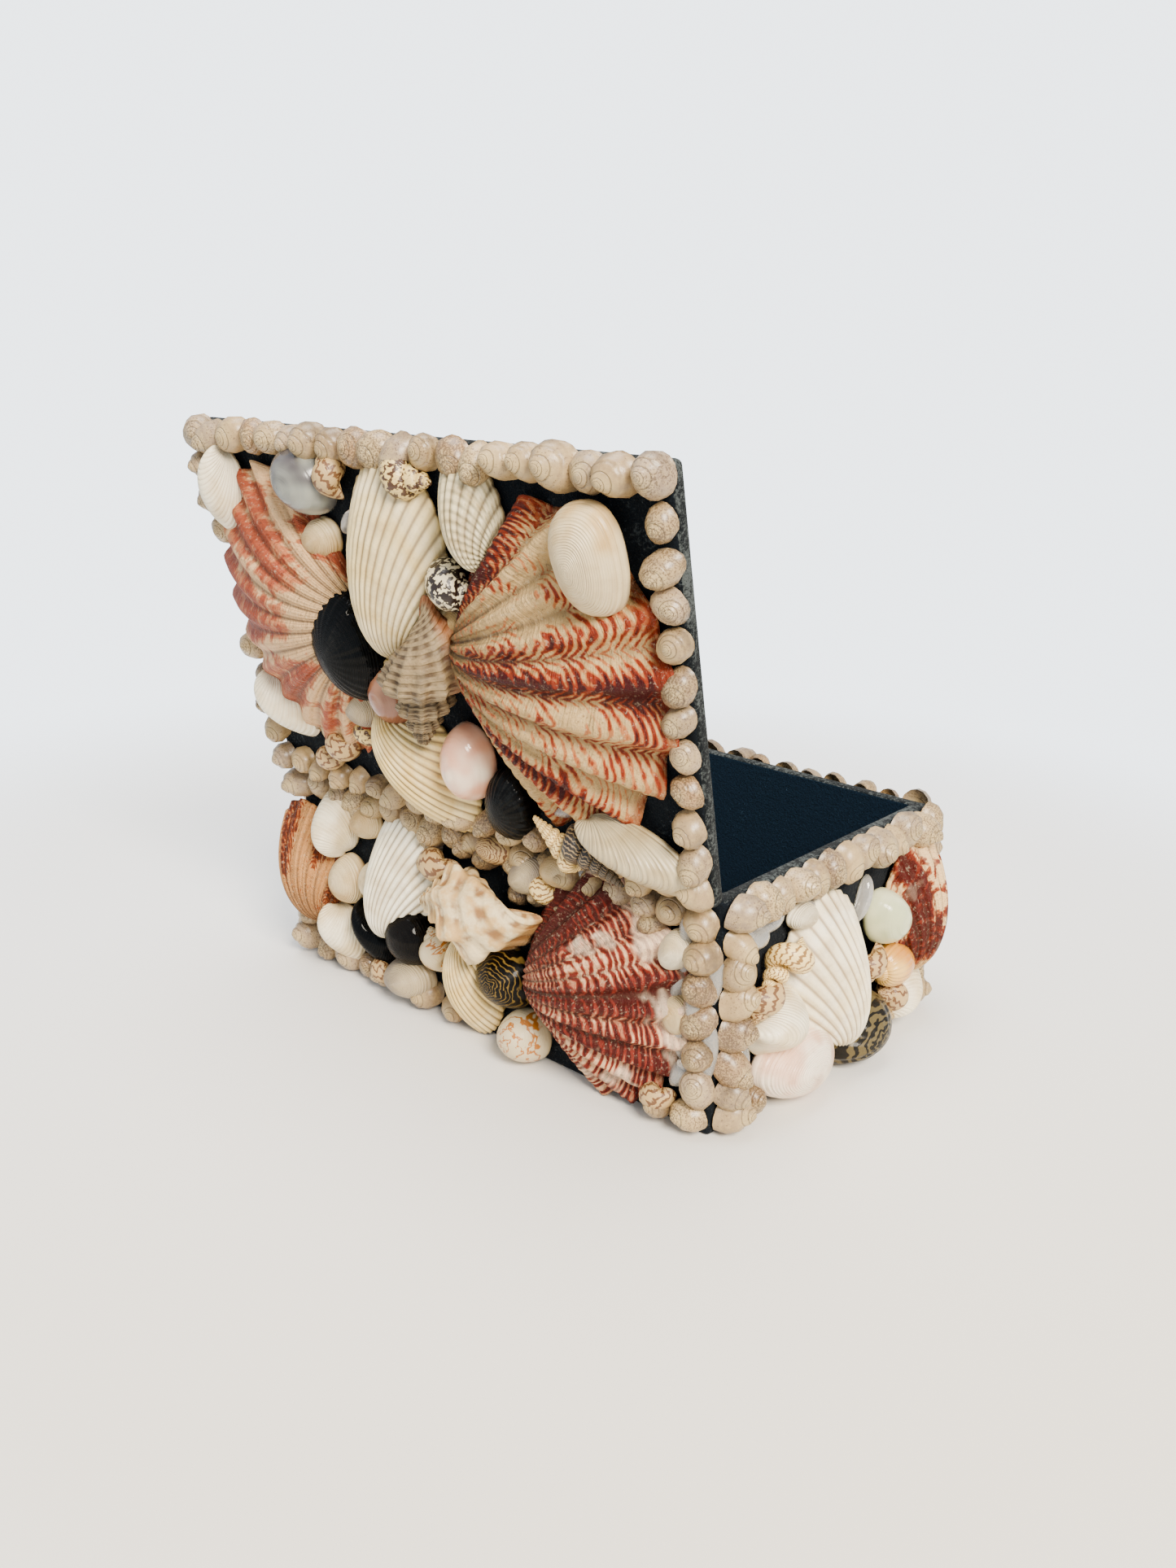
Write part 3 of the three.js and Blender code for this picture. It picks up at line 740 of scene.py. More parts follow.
SCALLOP = {"spread": 74.0, "corner": 0.36, "arch": 0.62, "along": 60}
ARK = {"spread": 84.0, "corner": 0.8, "arch": 0.85, "along": 40}
CLAM = {"spread": 86.0, "corner": 0.9, "arch": 0.9, "along": 26}
WHELK = {
    "outline": SPINDLE, "whorls": 5, "growth": 1.6, "spire": 2.0, "ribs": 13, "depth": 0.09, "knobs": 0.16,
    "cords": 22, "cord_depth": 0.04, "spin": 215,
}
NERITE = {"whorls": 3, "growth": 2.3, "spire": 0.9, "spin": 200}
SPIRE = {"outline": TURRET, "whorls": 8, "spin": 210}
SHELLS = []


def shell(name, form, at, turn, size, material, lift=OFF_PANEL, covers=False, **shape):
    SHELLS.append(
        {
            "name": name, "panel": name.split("_")[0], "form": form, "at": at, "turn": turn, "size": size,
            "material": material, "lift": lift, "covers": covers, "shape": shape,
        }
    )


def scallop(name, at, turn, size, material, lift, ribs, depth, **more):
    shell(name, valve, at, turn, size, material, lift, ribs=ribs, depth=depth, **SCALLOP, **more)


def ark(name, at, turn, size, material, lift, ribs, depth, **more):
    shell(name, valve, at, turn, size, material, lift, ribs=ribs, depth=depth, **ARK, **more)


def clam(name, at, turn, size, material, lift=OFF_PANEL, **more):
    shell(name, valve, at, turn, size, material, lift, **CLAM, **more)


def shell_piece(one):
    points, faces, uv = one["form"](*one["size"], **one["shape"]).arrays()
    points = turned(points, one["turn"], "z") + np.array([*one["at"], one["lift"]])
    if one["panel"] != "lid":
        points[:, 1] += max(0.0, SHELL_OFF_GROUND - HEIGHT / 2 - points[:, 1].min())
    made = mesh_from(one["name"], onto_panel(points, one["panel"]), faces, uv)
    return link(one["name"] + "_look", made, one["material"])


large_scallop = rayed_shell(
    "scallop_rust_rays",
    ("#BC9C68", "#AC6A3C", "#7A260C", "#38090A", "#6A5434"),
    12, cover=0.68, chevrons=24.0, bulge=2.3, edge="#7E2A0C", edge_share=0.7, seed=3.7,
    umbo_fade=(0.0, 0.25), ragged_share=1.2,
    lanes=(
        (0.0, 0.35), (0.08, 0.45), (0.14, 0.3), (0.2, 0.6), (0.27, 1.0), (0.31, 0.4), (0.36, 0.12),
        (0.43, 0.6),
        (0.48, 0.4), (0.53, 1.0), (0.57, 0.5), (0.61, 0.7), (0.66, 0.15), (0.75, 0.05), (0.82, 0.35),
        (0.88, 0.95), (0.95, 0.9), (1.0, 0.4),
    ),
)
far_scallop = rayed_shell(
    "scallop_salmon",
    ("#D6AC7C", "#B06A44", "#94442A", "#7A3018", "#BA986C"),
    16, cover=0.7, chevrons=9.0, bulge=0.5, chevron_share=0.12, seed=5.2, umbo_fade=(0.12, 0.5),
    ragged_share=0.95,
    lanes=(
        (0.0, 0.85), (0.1, 0.75), (0.15, 0.4), (0.2, 0.75), (0.3, 0.85), (0.35, 0.45), (0.4, 0.75),
        (0.5, 0.8),
        (0.55, 0.4), (0.6, 0.8), (0.68, 0.85), (0.73, 0.45), (0.78, 0.75), (0.84, 0.4), (0.9, 0.8),
        (1.0, 0.6),
    ),
)
maroon_scallop = rayed_shell(
    "scallop_maroon_rays",
    ("#DDB086", "#A9684A", "#722418", "#400E09", "#7E5240"),
    14, cover=0.68, chevrons=26.0, bulge=0.9, chevron_share=0.4, patches=0.5, seed=8.4,
    umbo_fade=(-0.4, 0.2), ragged_share=0.6,
    lanes=(
        (0.0, 0.5), (0.15, 0.75), (0.24, 0.5), (0.33, 0.85), (0.42, 0.6), (0.5, 0.95), (0.57, 0.55),
        (0.66, 0.7),
        (0.74, 0.95), (0.82, 1.0), (0.92, 1.0), (1.0, 0.8),
    ),
)
rust_scallop = rayed_shell(
    "scallop_red_brown",
    ("#E4BC84", "#A05A34", "#6C2210", "#48120A", "#D8AE74"),
    12, cover=0.78, rays=0.28, chevrons=9.0, bulge=0.2, seed=11.0, patches=0.1,
)
mottled_scallop = rayed_shell(
    "scallop_orange_brown",
    ("#C08850", "#985428", "#763214", "#50200E", "#946A44"),
    14, cover=0.55, rays=0.5, chevrons=14.0, seed=14.0,
)
# The third colour of each ribbed shell is its groove colour: painted shade with some dirt.
ivory_ark = ribbed_shell("ark_ivory", "#E6D4A8", "#D8BE80", "#5A4224", 30)
cream_ark = ribbed_shell("ark_cream", "#E8D198", "#DCBC70", "#5A3F20", 28)
white_ark = ribbed_shell("ark_white", "#F6EFD8", "#E6DAB8", "#6A5636", 28)
white_cockle = ribbed_shell("cockle_white", "#F8EED2", "#EEDCB0", "#7A5C38", 26)
beaded_cockle = ribbed_shell("cockle_beaded", "#DCD0A8", "#BCA97C", "#4A3820", 17, beads=16.0)
cream_clam = plain_shell("clam_cream", "#D8C296", "#C8A468", "#7E5C2C")
white_clam = plain_shell("clam_white", "#F2E6C6", "#E2CC9E", "#A88C5C")
lined_clam = plain_shell(
    "clam_lined", "#C2B18A", "#AC976C", "#54402A", lines=26.0, line_share=0.75
)
pink_clam = plain_shell("clam_pink_white", "#F6E6CC", "#ECBFA0", "#DCA68A", roughness=0.3)
pink_cowrie = plain_shell("cowrie_pink", "#DA9C7C", "#F0DCC0", lines=3.0, roughness=0.2, coat=0.3)
salmon_cowrie = plain_shell("cowrie_salmon", "#84523A", "#9C7052", lines=3.0, roughness=0.2, coat=0.3)
moon_grey = plain_shell("moon_shell_grey", "#898B80", "#453F40", lines=3.0, roughness=0.22, coat=0.2)
moon_green = plain_shell("moon_shell_green", "#DCDCB0", "#BCC094", lines=3.0, roughness=0.22, coat=0.2)
pebble_grey = plain_shell("worn_shell_grey", "#B5A27E", "#7E7060", roughness=0.35)
amber = plain_shell("periwinkle_amber", "#C8822A", "#E8B860", roughness=0.25, coat=0.2)
black_gloss = plain_shell(
    "mussel_black", "#010203", "#030507", "#060A0D", lines=40.0, roughness=0.3, coat=0.12, gloss=0.04,
)
brown_gloss = plain_shell(
    "cowrie_dark_brown", "#020101", "#060403", "#0C0806", lines=30.0, roughness=0.3, coat=0.15,
    gloss=0.04,
)
black_nerite = marked_shell(
    "nerite_black", "#010101", "#060809", scale=(26.0, 2.0), zigzag=0.5, gloss=0.05, coat=0.12,
)
gold_nerite = marked_shell(
    "nerite_gold_zigzag", "#040302", "#665022", scale=(5.0, 10.0), zigzag=1.3, threshold=0.76,
    gloss=0.08, coat=0.1,
)
olive_nerite = marked_shell(
    "nerite_olive_stripes", "#14110B", "#564A2E", scale=(1.0, 6.0), zigzag=0.3, threshold=0.5,
    gloss=0.12, coat=0.1,
)
tent_nerite = marked_shell("nerite_tents", "#D6C8A2", "#1A0E08", threshold=0.47)
dash_snail = marked_shell("top_shell_dashes", "#D8BA72", "#422812", threshold=0.5)
orange_snail = marked_shell(
    "snail_orange_streaks", "#CDBB94", "#A8641A", scale=(3.0, 3.0), zigzag=0.6, threshold=0.78
)
tan_snail = marked_shell(
    "top_shell_tan", "#B89864", "#674324", scale=(3.0, 9.0), zigzag=0.4, threshold=0.62, roughness=0.4
)
dark_spire = marked_shell(
    "cerith_dark", "#1B1511", "#86704E", scale=(4.0, 24.0), zigzag=0.3, threshold=0.7, roughness=0.4
)
white_spire = marked_shell(
    "cerith_white", "#F0CF86", "#85602F", scale=(4.0, 16.0), zigzag=0.3, threshold=0.66, roughness=0.4
)
grey_whelk = whelk_shell("dog_whelk_grey", "#8C7858", "#2C1C10", "#6E5E46", "#8A4A1E", 13.0, 22.0, 5.0)
cream_rock = whelk_shell(
    "rock_snail_cream", "#E2CC9E", "#7A4E26", "#CAA468", "#9A642E", 7.0, 9.0, 5.0, row_share=0.85
)

scallop(
    "lid_scallop_large", (45, 2), -4, (63, 82, 15), large_scallop, 0.6, 12, 2.3, lines=16,
    line_depth=0.22, frill=0.02,
)
scallop("lid_scallop_far", (-50, 2), 188, (59, 84, 15), far_scallop, 1.2, 16, 1.0, covers=True, frill=0.014)
ark(
    "lid_ark_large", (-4, 25), 80, (50, 33, 15), ivory_ark, 1.5, 30, 0.38, lines=12, line_depth=0.07,
    sharp=0.7,
)
ark("lid_cockle_white", (24, 39), 97, (26, 18, 10), beaded_cockle, 1.0, 17, 0.4)
shell(
    "lid_clam_cream", dome, (61.5, 33), 100, (25, 17.2, 11.5), cream_clam, 3.0, taper=0.14,
    squareness=2.5,
)
clam("lid_clam_long", (63, -40), -17, (33, 15, 9), lined_clam, 3.0, lines=14, line_depth=0.12)
shell(
    "lid_snail_dashed", coil, (7, 46), 177, (15, 11, 10), dash_snail, outline=TURRET, whorls=4,
    growth=1.7, spire=1.3, ribs=12, depth=0.05, spin=200,
)
shell("lid_nerite_speckled", coil, (15, 21), 177, (15, 12, 10), tent_nerite, 1.5, **NERITE)
shell("lid_whelk", coil, (5.5, -2.5), 76, (44, 25, 20), grey_whelk, 0.8, steps=52, flare=0.12, **WHELK)
ark("lid_ark_lower", (-9, -36), -54, (39, 28, 14), cream_ark, 0.5, 28, 0.45, sharp=0.7)
shell("lid_cowrie_pink", dome, (10, -28), -94, (22, 15, 12), pink_cowrie, 1.5, taper=-0.06)
shell("lid_nerite_black", dome, (21, -38), -94, (21, 15, 10), black_nerite, taper=0.1, ribs=22, depth=0.02)
shell("lid_cowrie_salmon", dome, (-16, -14), -80, (19, 14, 11), salmon_cowrie, taper=0.0)
shell("lid_moon_shell", dome, (-32, 42), -30, (20, 17, 12), moon_grey, 1.0, taper=0.1)
shell("lid_shell_pale", dome, (-33, 26), 0, (12, 11, 8), cream_clam)
shell(
    "lid_mussel_black", dome, (-25.8, -1), -80, (32, 22, 15), black_gloss, 1.5, taper=-0.1, ribs=26,
    depth=0.012,
)
clam("lid_clam_corner", (-69, 35), -100, (25, 14, 10), white_clam, 2.0)
clam("lid_clam_side", (-64, -27), -50, (23, 17, 11), white_clam, 2.0)
shell(
    "lid_spire_white", coil, (38, -43), -38, (18, 8, 8), white_spire, 2.5, growth=1.28, spire=3.4,
    ribs=10, depth=0.06, **SPIRE,
)
shell(
    "lid_spire_dark", coil, (50, -44), 150, (20, 9, 9), dark_spire, 2.5, growth=1.3, spire=3.0, ribs=12,
    depth=0.08, **SPIRE,
)

scallop(
    "back_scallop_large", (48, -5), 14, (51, 62, 15), maroon_scallop, 0.8, 14, 1.6, covers=True, lines=12,
    line_depth=0.18, frill=0.018,
)
scallop("back_scallop_far", (-71, 2), 112, (38, 28, 13), mottled_scallop, 2.5, 12, 0.6, covers=True)
shell(
    "back_rock_snail", coil, (8, 10), 12, (46, 28, 22), cream_rock, 0.3, outline=STOUT, whorls=5,
    growth=1.7, spire=1.55, ribs=7, depth=0.1, knobs=0.3, cords=9, cord_depth=0.04, steps=48, spin=215,
    flare=0.15,
)
shell("back_nerite_gold", dome, (14, -9), 3, (20, 17, 12), gold_nerite, 0.8, taper=0.1)
shell("back_cowrie_black", dome, (-25, -9), -62, (19, 17, 12), brown_gloss, taper=0.05)
clam("back_clam_white", (-58, 18), 100, (20, 16, 12), white_clam, 2.0)
ark("back_ark_white", (-30, 9), 79, (40, 26, 14), white_ark, 1.0, 28, 0.42, sharp=0.7)
clam("back_mussel_black", (-42, -15), -58, (22, 12, 10), black_gloss)
shell("back_shell_cream", dome, (-54, 0), -86, (16, 13, 10), cream_clam)
clam("back_clam_low", (-56, -18), -61, (19, 15, 11), white_clam, 1.5, covers=True)
shell("back_pebble_shell", dome, (-26, -23), 10, (19, 13, 11), pebble_grey, 0.5, covers=True)
ark("back_ark_cream", (0, -21), -80, (30, 21, 12), cream_ark, 1.0, 28, 0.25, covers=True, sharp=0.7)
shell("back_snail_orange", dome, (21, -24), 8, (16, 15, 12), orange_snail, 0.8, covers=True)

ark("left_cockle", (-8, -0.5), 112, (48, 40, 14), white_cockle, 0.6, 26, 0.5)
scallop("left_scallop", (40, 6), 80, (41, 33, 13), rust_scallop, 1.5, 12, 0.7)
clam("left_clam_oval", (-31, -6), -9, (25, 19, 12), white_clam, 1.5)
shell("left_clam_pink", dome, (-23, -21), -10, (34, 21, 13), pink_clam, 0.8, covers=True, taper=0.15)
shell(
    "left_nerite_dark", dome, (8.5, -23.5), 18, (27, 17, 15), olive_nerite, 0.5, covers=True, taper=0.1,
    ribs=14, depth=0.02,
)
shell("left_moon_green", dome, (22, 7), -49, (19, 15, 11), moon_green, 1.0, taper=0.1)
clam("left_clam_white", (38, -20), 40, (21, 15, 11), white_clam, 1.0, covers=True)

scallop("front_scallop_left", (-56, -1), 172, (35, 43, 12), mottled_scallop, 0.5, 14, 0.7)
scallop("front_scallop_right", (56, -1), 6, (37, 44, 12), rust_scallop, 0.5, 12, 0.8)
ark("front_ark_left", (-28, -2), 84, (39, 25, 14), ivory_ark, 0.5, 30, 0.3, sharp=0.7)
ark("front_ark_right", (26, 8), 100, (33, 25, 13), white_ark, 0.5, 28, 0.3, sharp=0.7)
shell("front_whelk", coil, (-4, 4), -20, (40, 21, 18), grey_whelk, 0.4, steps=40, **WHELK)
shell("front_clam_black", dome, (21, -16), 20, (19, 14, 11), brown_gloss)
clam("front_clam_low", (-2, -19), -85, (19, 17, 10), pink_clam, 0.5)

ark("right_cockle", (9, 1), 95, (39, 28, 14), white_cockle, 0.5, 26, 0.5)
scallop("right_scallop", (-26, 3), 168, (31, 39, 11), far_scallop, 0.5, 14, 0.6)
shell("right_nerite", coil, (-9, -17), 30, (18, 14, 11), tent_nerite, **NERITE)
clam("right_clam", (32, -8), -70, (23, 18, 11), white_clam, 0.5)

# Very small shells tucked between the larger ones. Those that are coiled have the number of their
# whorls, the length of their spire and, where it isn't the round one, the whorl's outline.
for name, at, turn, size, material, *coils in (
    ("lid_small_tan", (-21, 44), -65, (13, 10, 9), tan_snail, 4, 1.1),
    ("lid_small_speckled", (-33, 13), 20, (12, 11, 8), tent_nerite, 3, 0.9),
    ("lid_small_ring", (-42, 29.5), 0, (9, 6, 5), tan_snail, 3, 0.9),
    ("lid_small_spire", (-16, -6), -153, (18, 8, 8), white_spire, 6, 2.6, TURRET),
    ("lid_small_purple", (-31, -21), 10, (13, 13, 8), pebble_grey),
    ("lid_small_dash", (-33, -30), 0, (13, 7, 6), dash_snail, 4, 1.3),
    ("lid_small_foot", (-44, -36), 30, (12, 10, 8), tan_snail, 3, 1.0),
    ("back_small_turban", (-14, 16), 21, (18, 11, 9), tan_snail, 4, 1.3),
    ("back_small_spiral", (-14, -10), -58, (14, 12, 9), orange_snail, 4, 1.1),
    ("back_small_cone", (-3, -8), 10, (13, 9, 8), tan_snail, 4, 1.5),
    ("back_small_white", (-42, 3), 80, (13, 10, 8), white_clam),
    ("back_small_far", (-46, 20), 20, (12, 10, 7), cream_clam),
    ("back_small_clam", (69, 17), 60, (12, 9, 7), white_clam),
    ("back_small_pale", (70, 0), 100, (11, 8, 6), cream_clam),
    ("back_small_low", (66, -24), 40, (12, 8, 7), tan_snail, 4, 1.1),
    ("back_small_top", (26, 21), 10, (13, 9, 8), white_spire, 4, 1.5),
    ("back_small_mid", (-8, 1), 120, (11, 8, 8), tan_snail, 4, 1.1),
    ("lid_small_gap", (12, 10), 40, (9, 7, 6), cream_clam),
    ("lid_small_low", (-52, -42), 30, (11, 8, 7), tan_snail, 3, 1.0),
    ("back_small_rim", (8, 27), 0, (13, 9, 8), tan_snail),
    ("back_small_rim_two", (21, 23), 30, (14, 11, 9), pebble_grey),
    ("back_small_rim_three", (31, 27), 0, (12, 9, 8), cream_clam),
    ("back_small_foot", (-38, -25), 0, (10, 8, 7), tan_snail, 3, 1.0),
    ("left_small_top", (-22, 20), 0, (11, 7, 6), white_clam),
    ("left_small_foot", (2, -28), 0, (9, 7, 6), tan_snail, 3, 1.0),
    ("left_small_gap", (17, -6), 70, (14, 10, 8), tan_snail, 4, 1.1),
    ("left_small_orange", (28, -9), 10, (19, 14, 11), amber, 3, 0.8),
    ("left_small_whelk", (-33, 11), 30, (21, 13, 11), white_spire, 5, 1.8, TURRET),
    ("left_small_tan", (-40, 4), 60, (15, 11, 9), tan_snail, 4, 1.2),
    ("left_small_ringed", (31, -21), -20, (17, 10, 9), tan_snail, 4, 1.2),
):
    shape = dict(zip(("whorls", "spire", "outline"), coils))
    shell(name, coil if coils else dome, at, turn, size, material, 1.0, **shape)

SLOTS = {item["node"]: item["material_slot"] for item in frame["record"]["subparts"]}

for one in SHELLS:
    piece = shell_piece(one)
    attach(piece, PANELS[one["panel"]]["body"])
    if one["name"] in SLOTS:
        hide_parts(one["name"])


# Clear glue squeezed out where shells meet near the corner closest to the camera.
for index, (name, at, turn, size) in enumerate(
    (
        ("back", (72, 24), 80, (14, 6, 5)), ("back", (70, 9), 70, (16, 5, 4)),
        ("back", (71, -6), 95, (13, 4.5, 4)),
        ("back", (79, 12), 90, (14, 5, 3)), ("back", (79, -8), 90, (16, 5, 3)),
        ("back", (33, 27), 10, (15, 5, 4)), ("back", (58, 25), 20, (12, 5, 4)),
        ("back", (-11, 1), 60, (10, 4, 4)),
        ("back", (73, 16), 10, (9, 7, 5)), ("back", (75, 3), 90, (12, 5, 5)),
        ("back", (72, -16), 60, (10, 6, 5)),
        ("left", (-36, 22), 10, (14, 5, 4)), ("left", (-20, 21), 0, (12, 4, 4)),
        ("left", (-45, 4), 90, (12, 5, 4)),
        ("left", (-43, 20), 0, (13, 6, 5)), ("left", (-44, -14), 80, (12, 5, 4)),
        ("left", (13, 14), 70, (14, 4, 4)),
        ("lid", (66, -48), 10, (12, 5, 4)), ("lid", (38, -36), 20, (9, 4, 4)),
        ("lid", (-22, 31), 60, (8, 3, 4)),
    )
):
    points, faces, uv = dome(*size, taper=0.3, rings=8, sides=20).arrays()
    points = turned(points, turn, "z") + np.array([*at, OFF_PANEL])
    made = mesh_from(f"glue_{index}", onto_panel(points, name), faces, uv)
    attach(link(f"{name}_glue_{index}", made, glue_material), PANELS[name]["body"])


# Strings of snail shells round each panel, by Geometry Nodes: a snail on every point of a mesh of
# points, each turned, tipped, sized and tinted a little differently.


def snail_string_tree(snails):
    tree = bpy.data.node_groups.new("snail_string", "GeometryNodeTree")
    for name, kind in (
        ("Points", "Geometry"), ("Snail width", "Float"), ("Snail height", "Float"),
        ("Size spread", "Float"),
        ("Tip", "Float"), ("Seed", "Int"), ("Material", "Material"),
    ):
        tree.interface.new_socket(name, in_out="INPUT", socket_type="NodeSocket" + kind)
    tree.interface.new_socket("Snails", in_out="OUTPUT", socket_type="NodeSocketGeometry")
    given = node(tree, "NodeGroupInput").outputs

    def sum_of(operation, first, second):
        return node(tree, "ShaderNodeMath", {0: first, 1: second}, operation=operation).outputs[0]

    def tipped(direction):
        inputs = {0: direction, "Scale": given["Tip"]}
        return node(tree, "ShaderNodeVectorMath", inputs, operation="SCALE").outputs[0]

    def random(kind, inputs, output):
        return node(tree, "FunctionNodeRandomValue", inputs, data_type=kind).outputs[output]

    kinds = node(tree, "GeometryNodeJoinGeometry")
    for snail in snails:
        info = node(tree, "GeometryNodeObjectInfo", {"Object": snail}).outputs["Geometry"]
        packed = node(tree, "GeometryNodeGeometryToInstance", {0: info})
        tree.links.new(packed.outputs[0], kinds.inputs[0])
    ends = {0: tipped((1.0, 1.0, 0.0)), 1: (0.0, 0.0, 2 * math.pi)}
    whole_turn = node(tree, "ShaderNodeVectorMath", ends, operation="ADD")
    turn = random(
        "FLOAT_VECTOR",
        {"Min": tipped((-1.0, -1.0, 0.0)), "Max": whole_turn.outputs[0], "Seed": given["Seed"]}, "Value",
    )
    smallest = sum_of("SUBTRACT", 1.0, given["Size spread"])
    largest = sum_of("ADD", 1.0, given["Size spread"])
    size = random("FLOAT", {2: smallest, 3: largest, "Seed": sum_of("ADD", given["Seed"], 11.0)}, 1)
    own_size = node(tree, "GeometryNodeInputNamedAttribute", {"Name": "size"}, data_type="FLOAT").outputs[0]
    together = sum_of("MULTIPLY", size, own_size)
    wide = sum_of("MULTIPLY", together, given["Snail width"])
    tall = sum_of("MULTIPLY", together, given["Snail height"])
    scale = node(tree, "ShaderNodeCombineXYZ", {0: wide, 1: wide, 2: tall}).outputs[0]
    pick = random("INT", {4: 0, 5: len(snails) - 1, "Seed": sum_of("ADD", given["Seed"], 23.0)}, 2)
    placed = node(
        tree, "GeometryNodeInstanceOnPoints",
        {
            "Points": given["Points"], "Instance": kinds.outputs[0], "Pick Instance": True,
            "Instance Index": pick, "Rotation": turn, "Scale": scale,
        },
    ).outputs[0]
    tint = random("FLOAT", {2: 0.0, 3: 1.0, "Seed": given["Seed"]}, 1)
    stored = node(
        tree, "GeometryNodeStoreNamedAttribute", {"Geometry": placed, "Name": "tint", "Value": tint},
        data_type="FLOAT", domain="INSTANCE",
    ).outputs[0]
    real = node(tree, "GeometryNodeRealizeInstances", {0: stored}).outputs[0]
    coated = node(tree, "GeometryNodeSetMaterial", {"Geometry": real, "Material": given["Material"]})
    node(tree, "NodeGroupOutput", {"Snails": coated.outputs[0]})
    return tree


snail_kinds = []
for index, (tall, cap) in enumerate(((0.95, 0.2), (1.05, 0.3), (0.88, 0.15), (1.12, 0.25))):
    points, faces, uv = snail_back(height=tall, cap=cap)
    snail_kinds.append(link(f"snail_kind_{index}", mesh_from(f"snail_kind_{index}", points, faces, uv)))
string_tree = snail_string_tree(snail_kinds)


# The two columns at the corner nearest the camera sit a little over its edge, in millimetres.
NEAR_CORNER = {("back", 1): 1.3, ("left", 3): -1.3}
# Single snails that sit beside the strings, as (across, up, size).
MORE_SNAILS = {
    "back": (
        (-18, 23, 0.95), (-5, 24, 0.9), (4, 23, 0.95), (13, 24, 0.92), (16, 16, 0.8), (24, 18, 0.85),
        (39, 24, 0.9), (61, 21, 0.85), (-50, 24, 0.9), (-19, 20, 0.8), (30, 16, 0.78),
    ),
    "lid": ((-57, -32, 0.9), (-51, -34, 0.85), (-40, -27, 0.75), (60, 49, 0.75)),
}


def string_points(name, sides, rng):
    """Points for a panel's string, as (across, up, size), jittered a little. sides gives the
    pitch and the size of the snails for foot, right, top and left in turn."""
    one = PANELS[name]
    side, foot, top = one["insets"]
    x, low, high = one["width"] / 2 - side, -one["height"] / 2 + foot, one["height"] / 2 - top
    corners = [(-x, low), (x, low), (x, high), (-x, high)]
    found = []
    for i, (x0, y0) in enumerate(corners):
        x1, y1 = corners[(i + 1) % 4]
        pitch, size = sides[i]
        count = round(math.hypot(x1 - x0, y1 - y0) / pitch)
        for k in range(count):
            share = k / count
            jitter = rng.uniform(-0.5, 0.5, 2)
            own = max(size, CORNER_SIZE) if k == 0 else size * rng.uniform(0.92, 1.08)
            outward = NEAR_CORNER.get((name, i), 0.0)
            across = x0 + (x1 - x0) * share + jitter[0] + outward
            found.append((across, y0 + (y1 - y0) * share + jitter[1], own))
    if name != "lid":
        floor = STRING_OFF_GROUND - one["height"] / 2
        found = [(a, max(b, floor + SNAIL_WIDTH * 0.5 * c), c) for a, b, c in found]
    return found


def under_a_shell(point, name):
    """Whether a point of a panel lies under one of the shells that cover its string."""
    for one in SHELLS:
        if one["panel"] != name or not one["covers"]:
            continue
        offset = np.array([point[0] - one["at"][0], point[1] - one["at"][1], 0.0])
        local = turned(offset[None, :], -one["turn"], "z")[0]
        reach = math.hypot(local[0] / (one["size"][0] * 0.5), local[1] / (one["size"][1] * 0.5))
        if reach < COVERED:
            return True
    return False


def snail_string(name, sides, seed):
    rng = np.random.default_rng(seed)
    chosen = [p for p in string_points(name, sides, rng) if not under_a_shell(p, name)]
    chosen += MORE_SNAILS.get(name, ())
    made = bpy.data.meshes.new(name + "_points")
    made.from_pydata([(p[0], p[1], OFF_PANEL) for p in chosen], [], [])
    made.attributes.new("size", "FLOAT", "POINT").data.foreach_set("value", [p[2] for p in chosen])
    holder = link(name + "_points", made)
    modifier = holder.modifiers.new("string", "NODES")
    modifier.node_group = string_tree
    sockets = {item.name: item.identifier for item in string_tree.interface.items_tree}
    for key, value in (
        ("Snail width", SNAIL_WIDTH), ("Snail height", SNAIL_HEIGHT), ("Size spread", SIZE_SPREAD),
        ("Tip", TIP), ("Seed", seed), ("Material", snail_material),
    ):
        modifier[sockets[key]] = value
    snails = evaluated(holder)
    bpy.data.objects.remove(holder)
    points = mesh_points(snails)
    points[:, 2] = np.maximum(points[:, 2], SNAIL_OFF_PANEL)
    if name != "lid":
        points[:, 1] = np.maximum(points[:, 1], SNAIL_OFF_GROUND - HEIGHT / 2)
    lay_on_panel(snails, points, name)
    piece = link(name + "_snail_string", snails, snail_material)
    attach(piece, PANELS[name]["body"])
    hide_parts(name + "_edge_shells")


STRINGS = {
    "lid": ((8.6, 0.94), (8.9, 0.99), (8.1, 1.12), (8.9, 1.0)),
    "back": ((9.2, 1.0), (8.8, 1.1), (8.3, 1.02), (9.4, 1.01)),
    "left": ((10.0, 1.0), (9.6, 1.05), (8.0, 1.2), (8.6, 1.12)),
    "front": ((9.4, 1.0), (9.4, 1.0), (9.4, 1.0), (9.4, 1.0)),
    "right": ((9.6, 1.0), (9.6, 1.0), (9.6, 1.0), (9.6, 1.0)),
}
for index, (name, sides) in enumerate(STRINGS.items()):
    snail_string(name, sides, FIRST_SEED + index)
for kind in snail_kinds:
    bpy.data.objects.remove(kind)


# Box and lid in velvet: boards with softly rounded edges.


def soft_box(name, low, high, radius, material):
    low, high = np.array(low, float), np.array(high, float)
    corners = [(x, y, z) for x in (low[0], high[0]) for y in (low[1], high[1]) for z in (low[2], high[2])]
    faces = [(0, 1, 3, 2), (4, 6, 7, 5), (0, 4, 5, 1), (2, 3, 7, 6), (0, 2, 6, 4), (1, 5, 7, 3)]
    made = mesh_from(name, np.array(corners) * MM, faces)
    piece = link(name, made, material)
    bevel = piece.modifiers.new("edge", "BEVEL")
    bevel.width = radius * MM
    bevel.segments = 4
    return piece


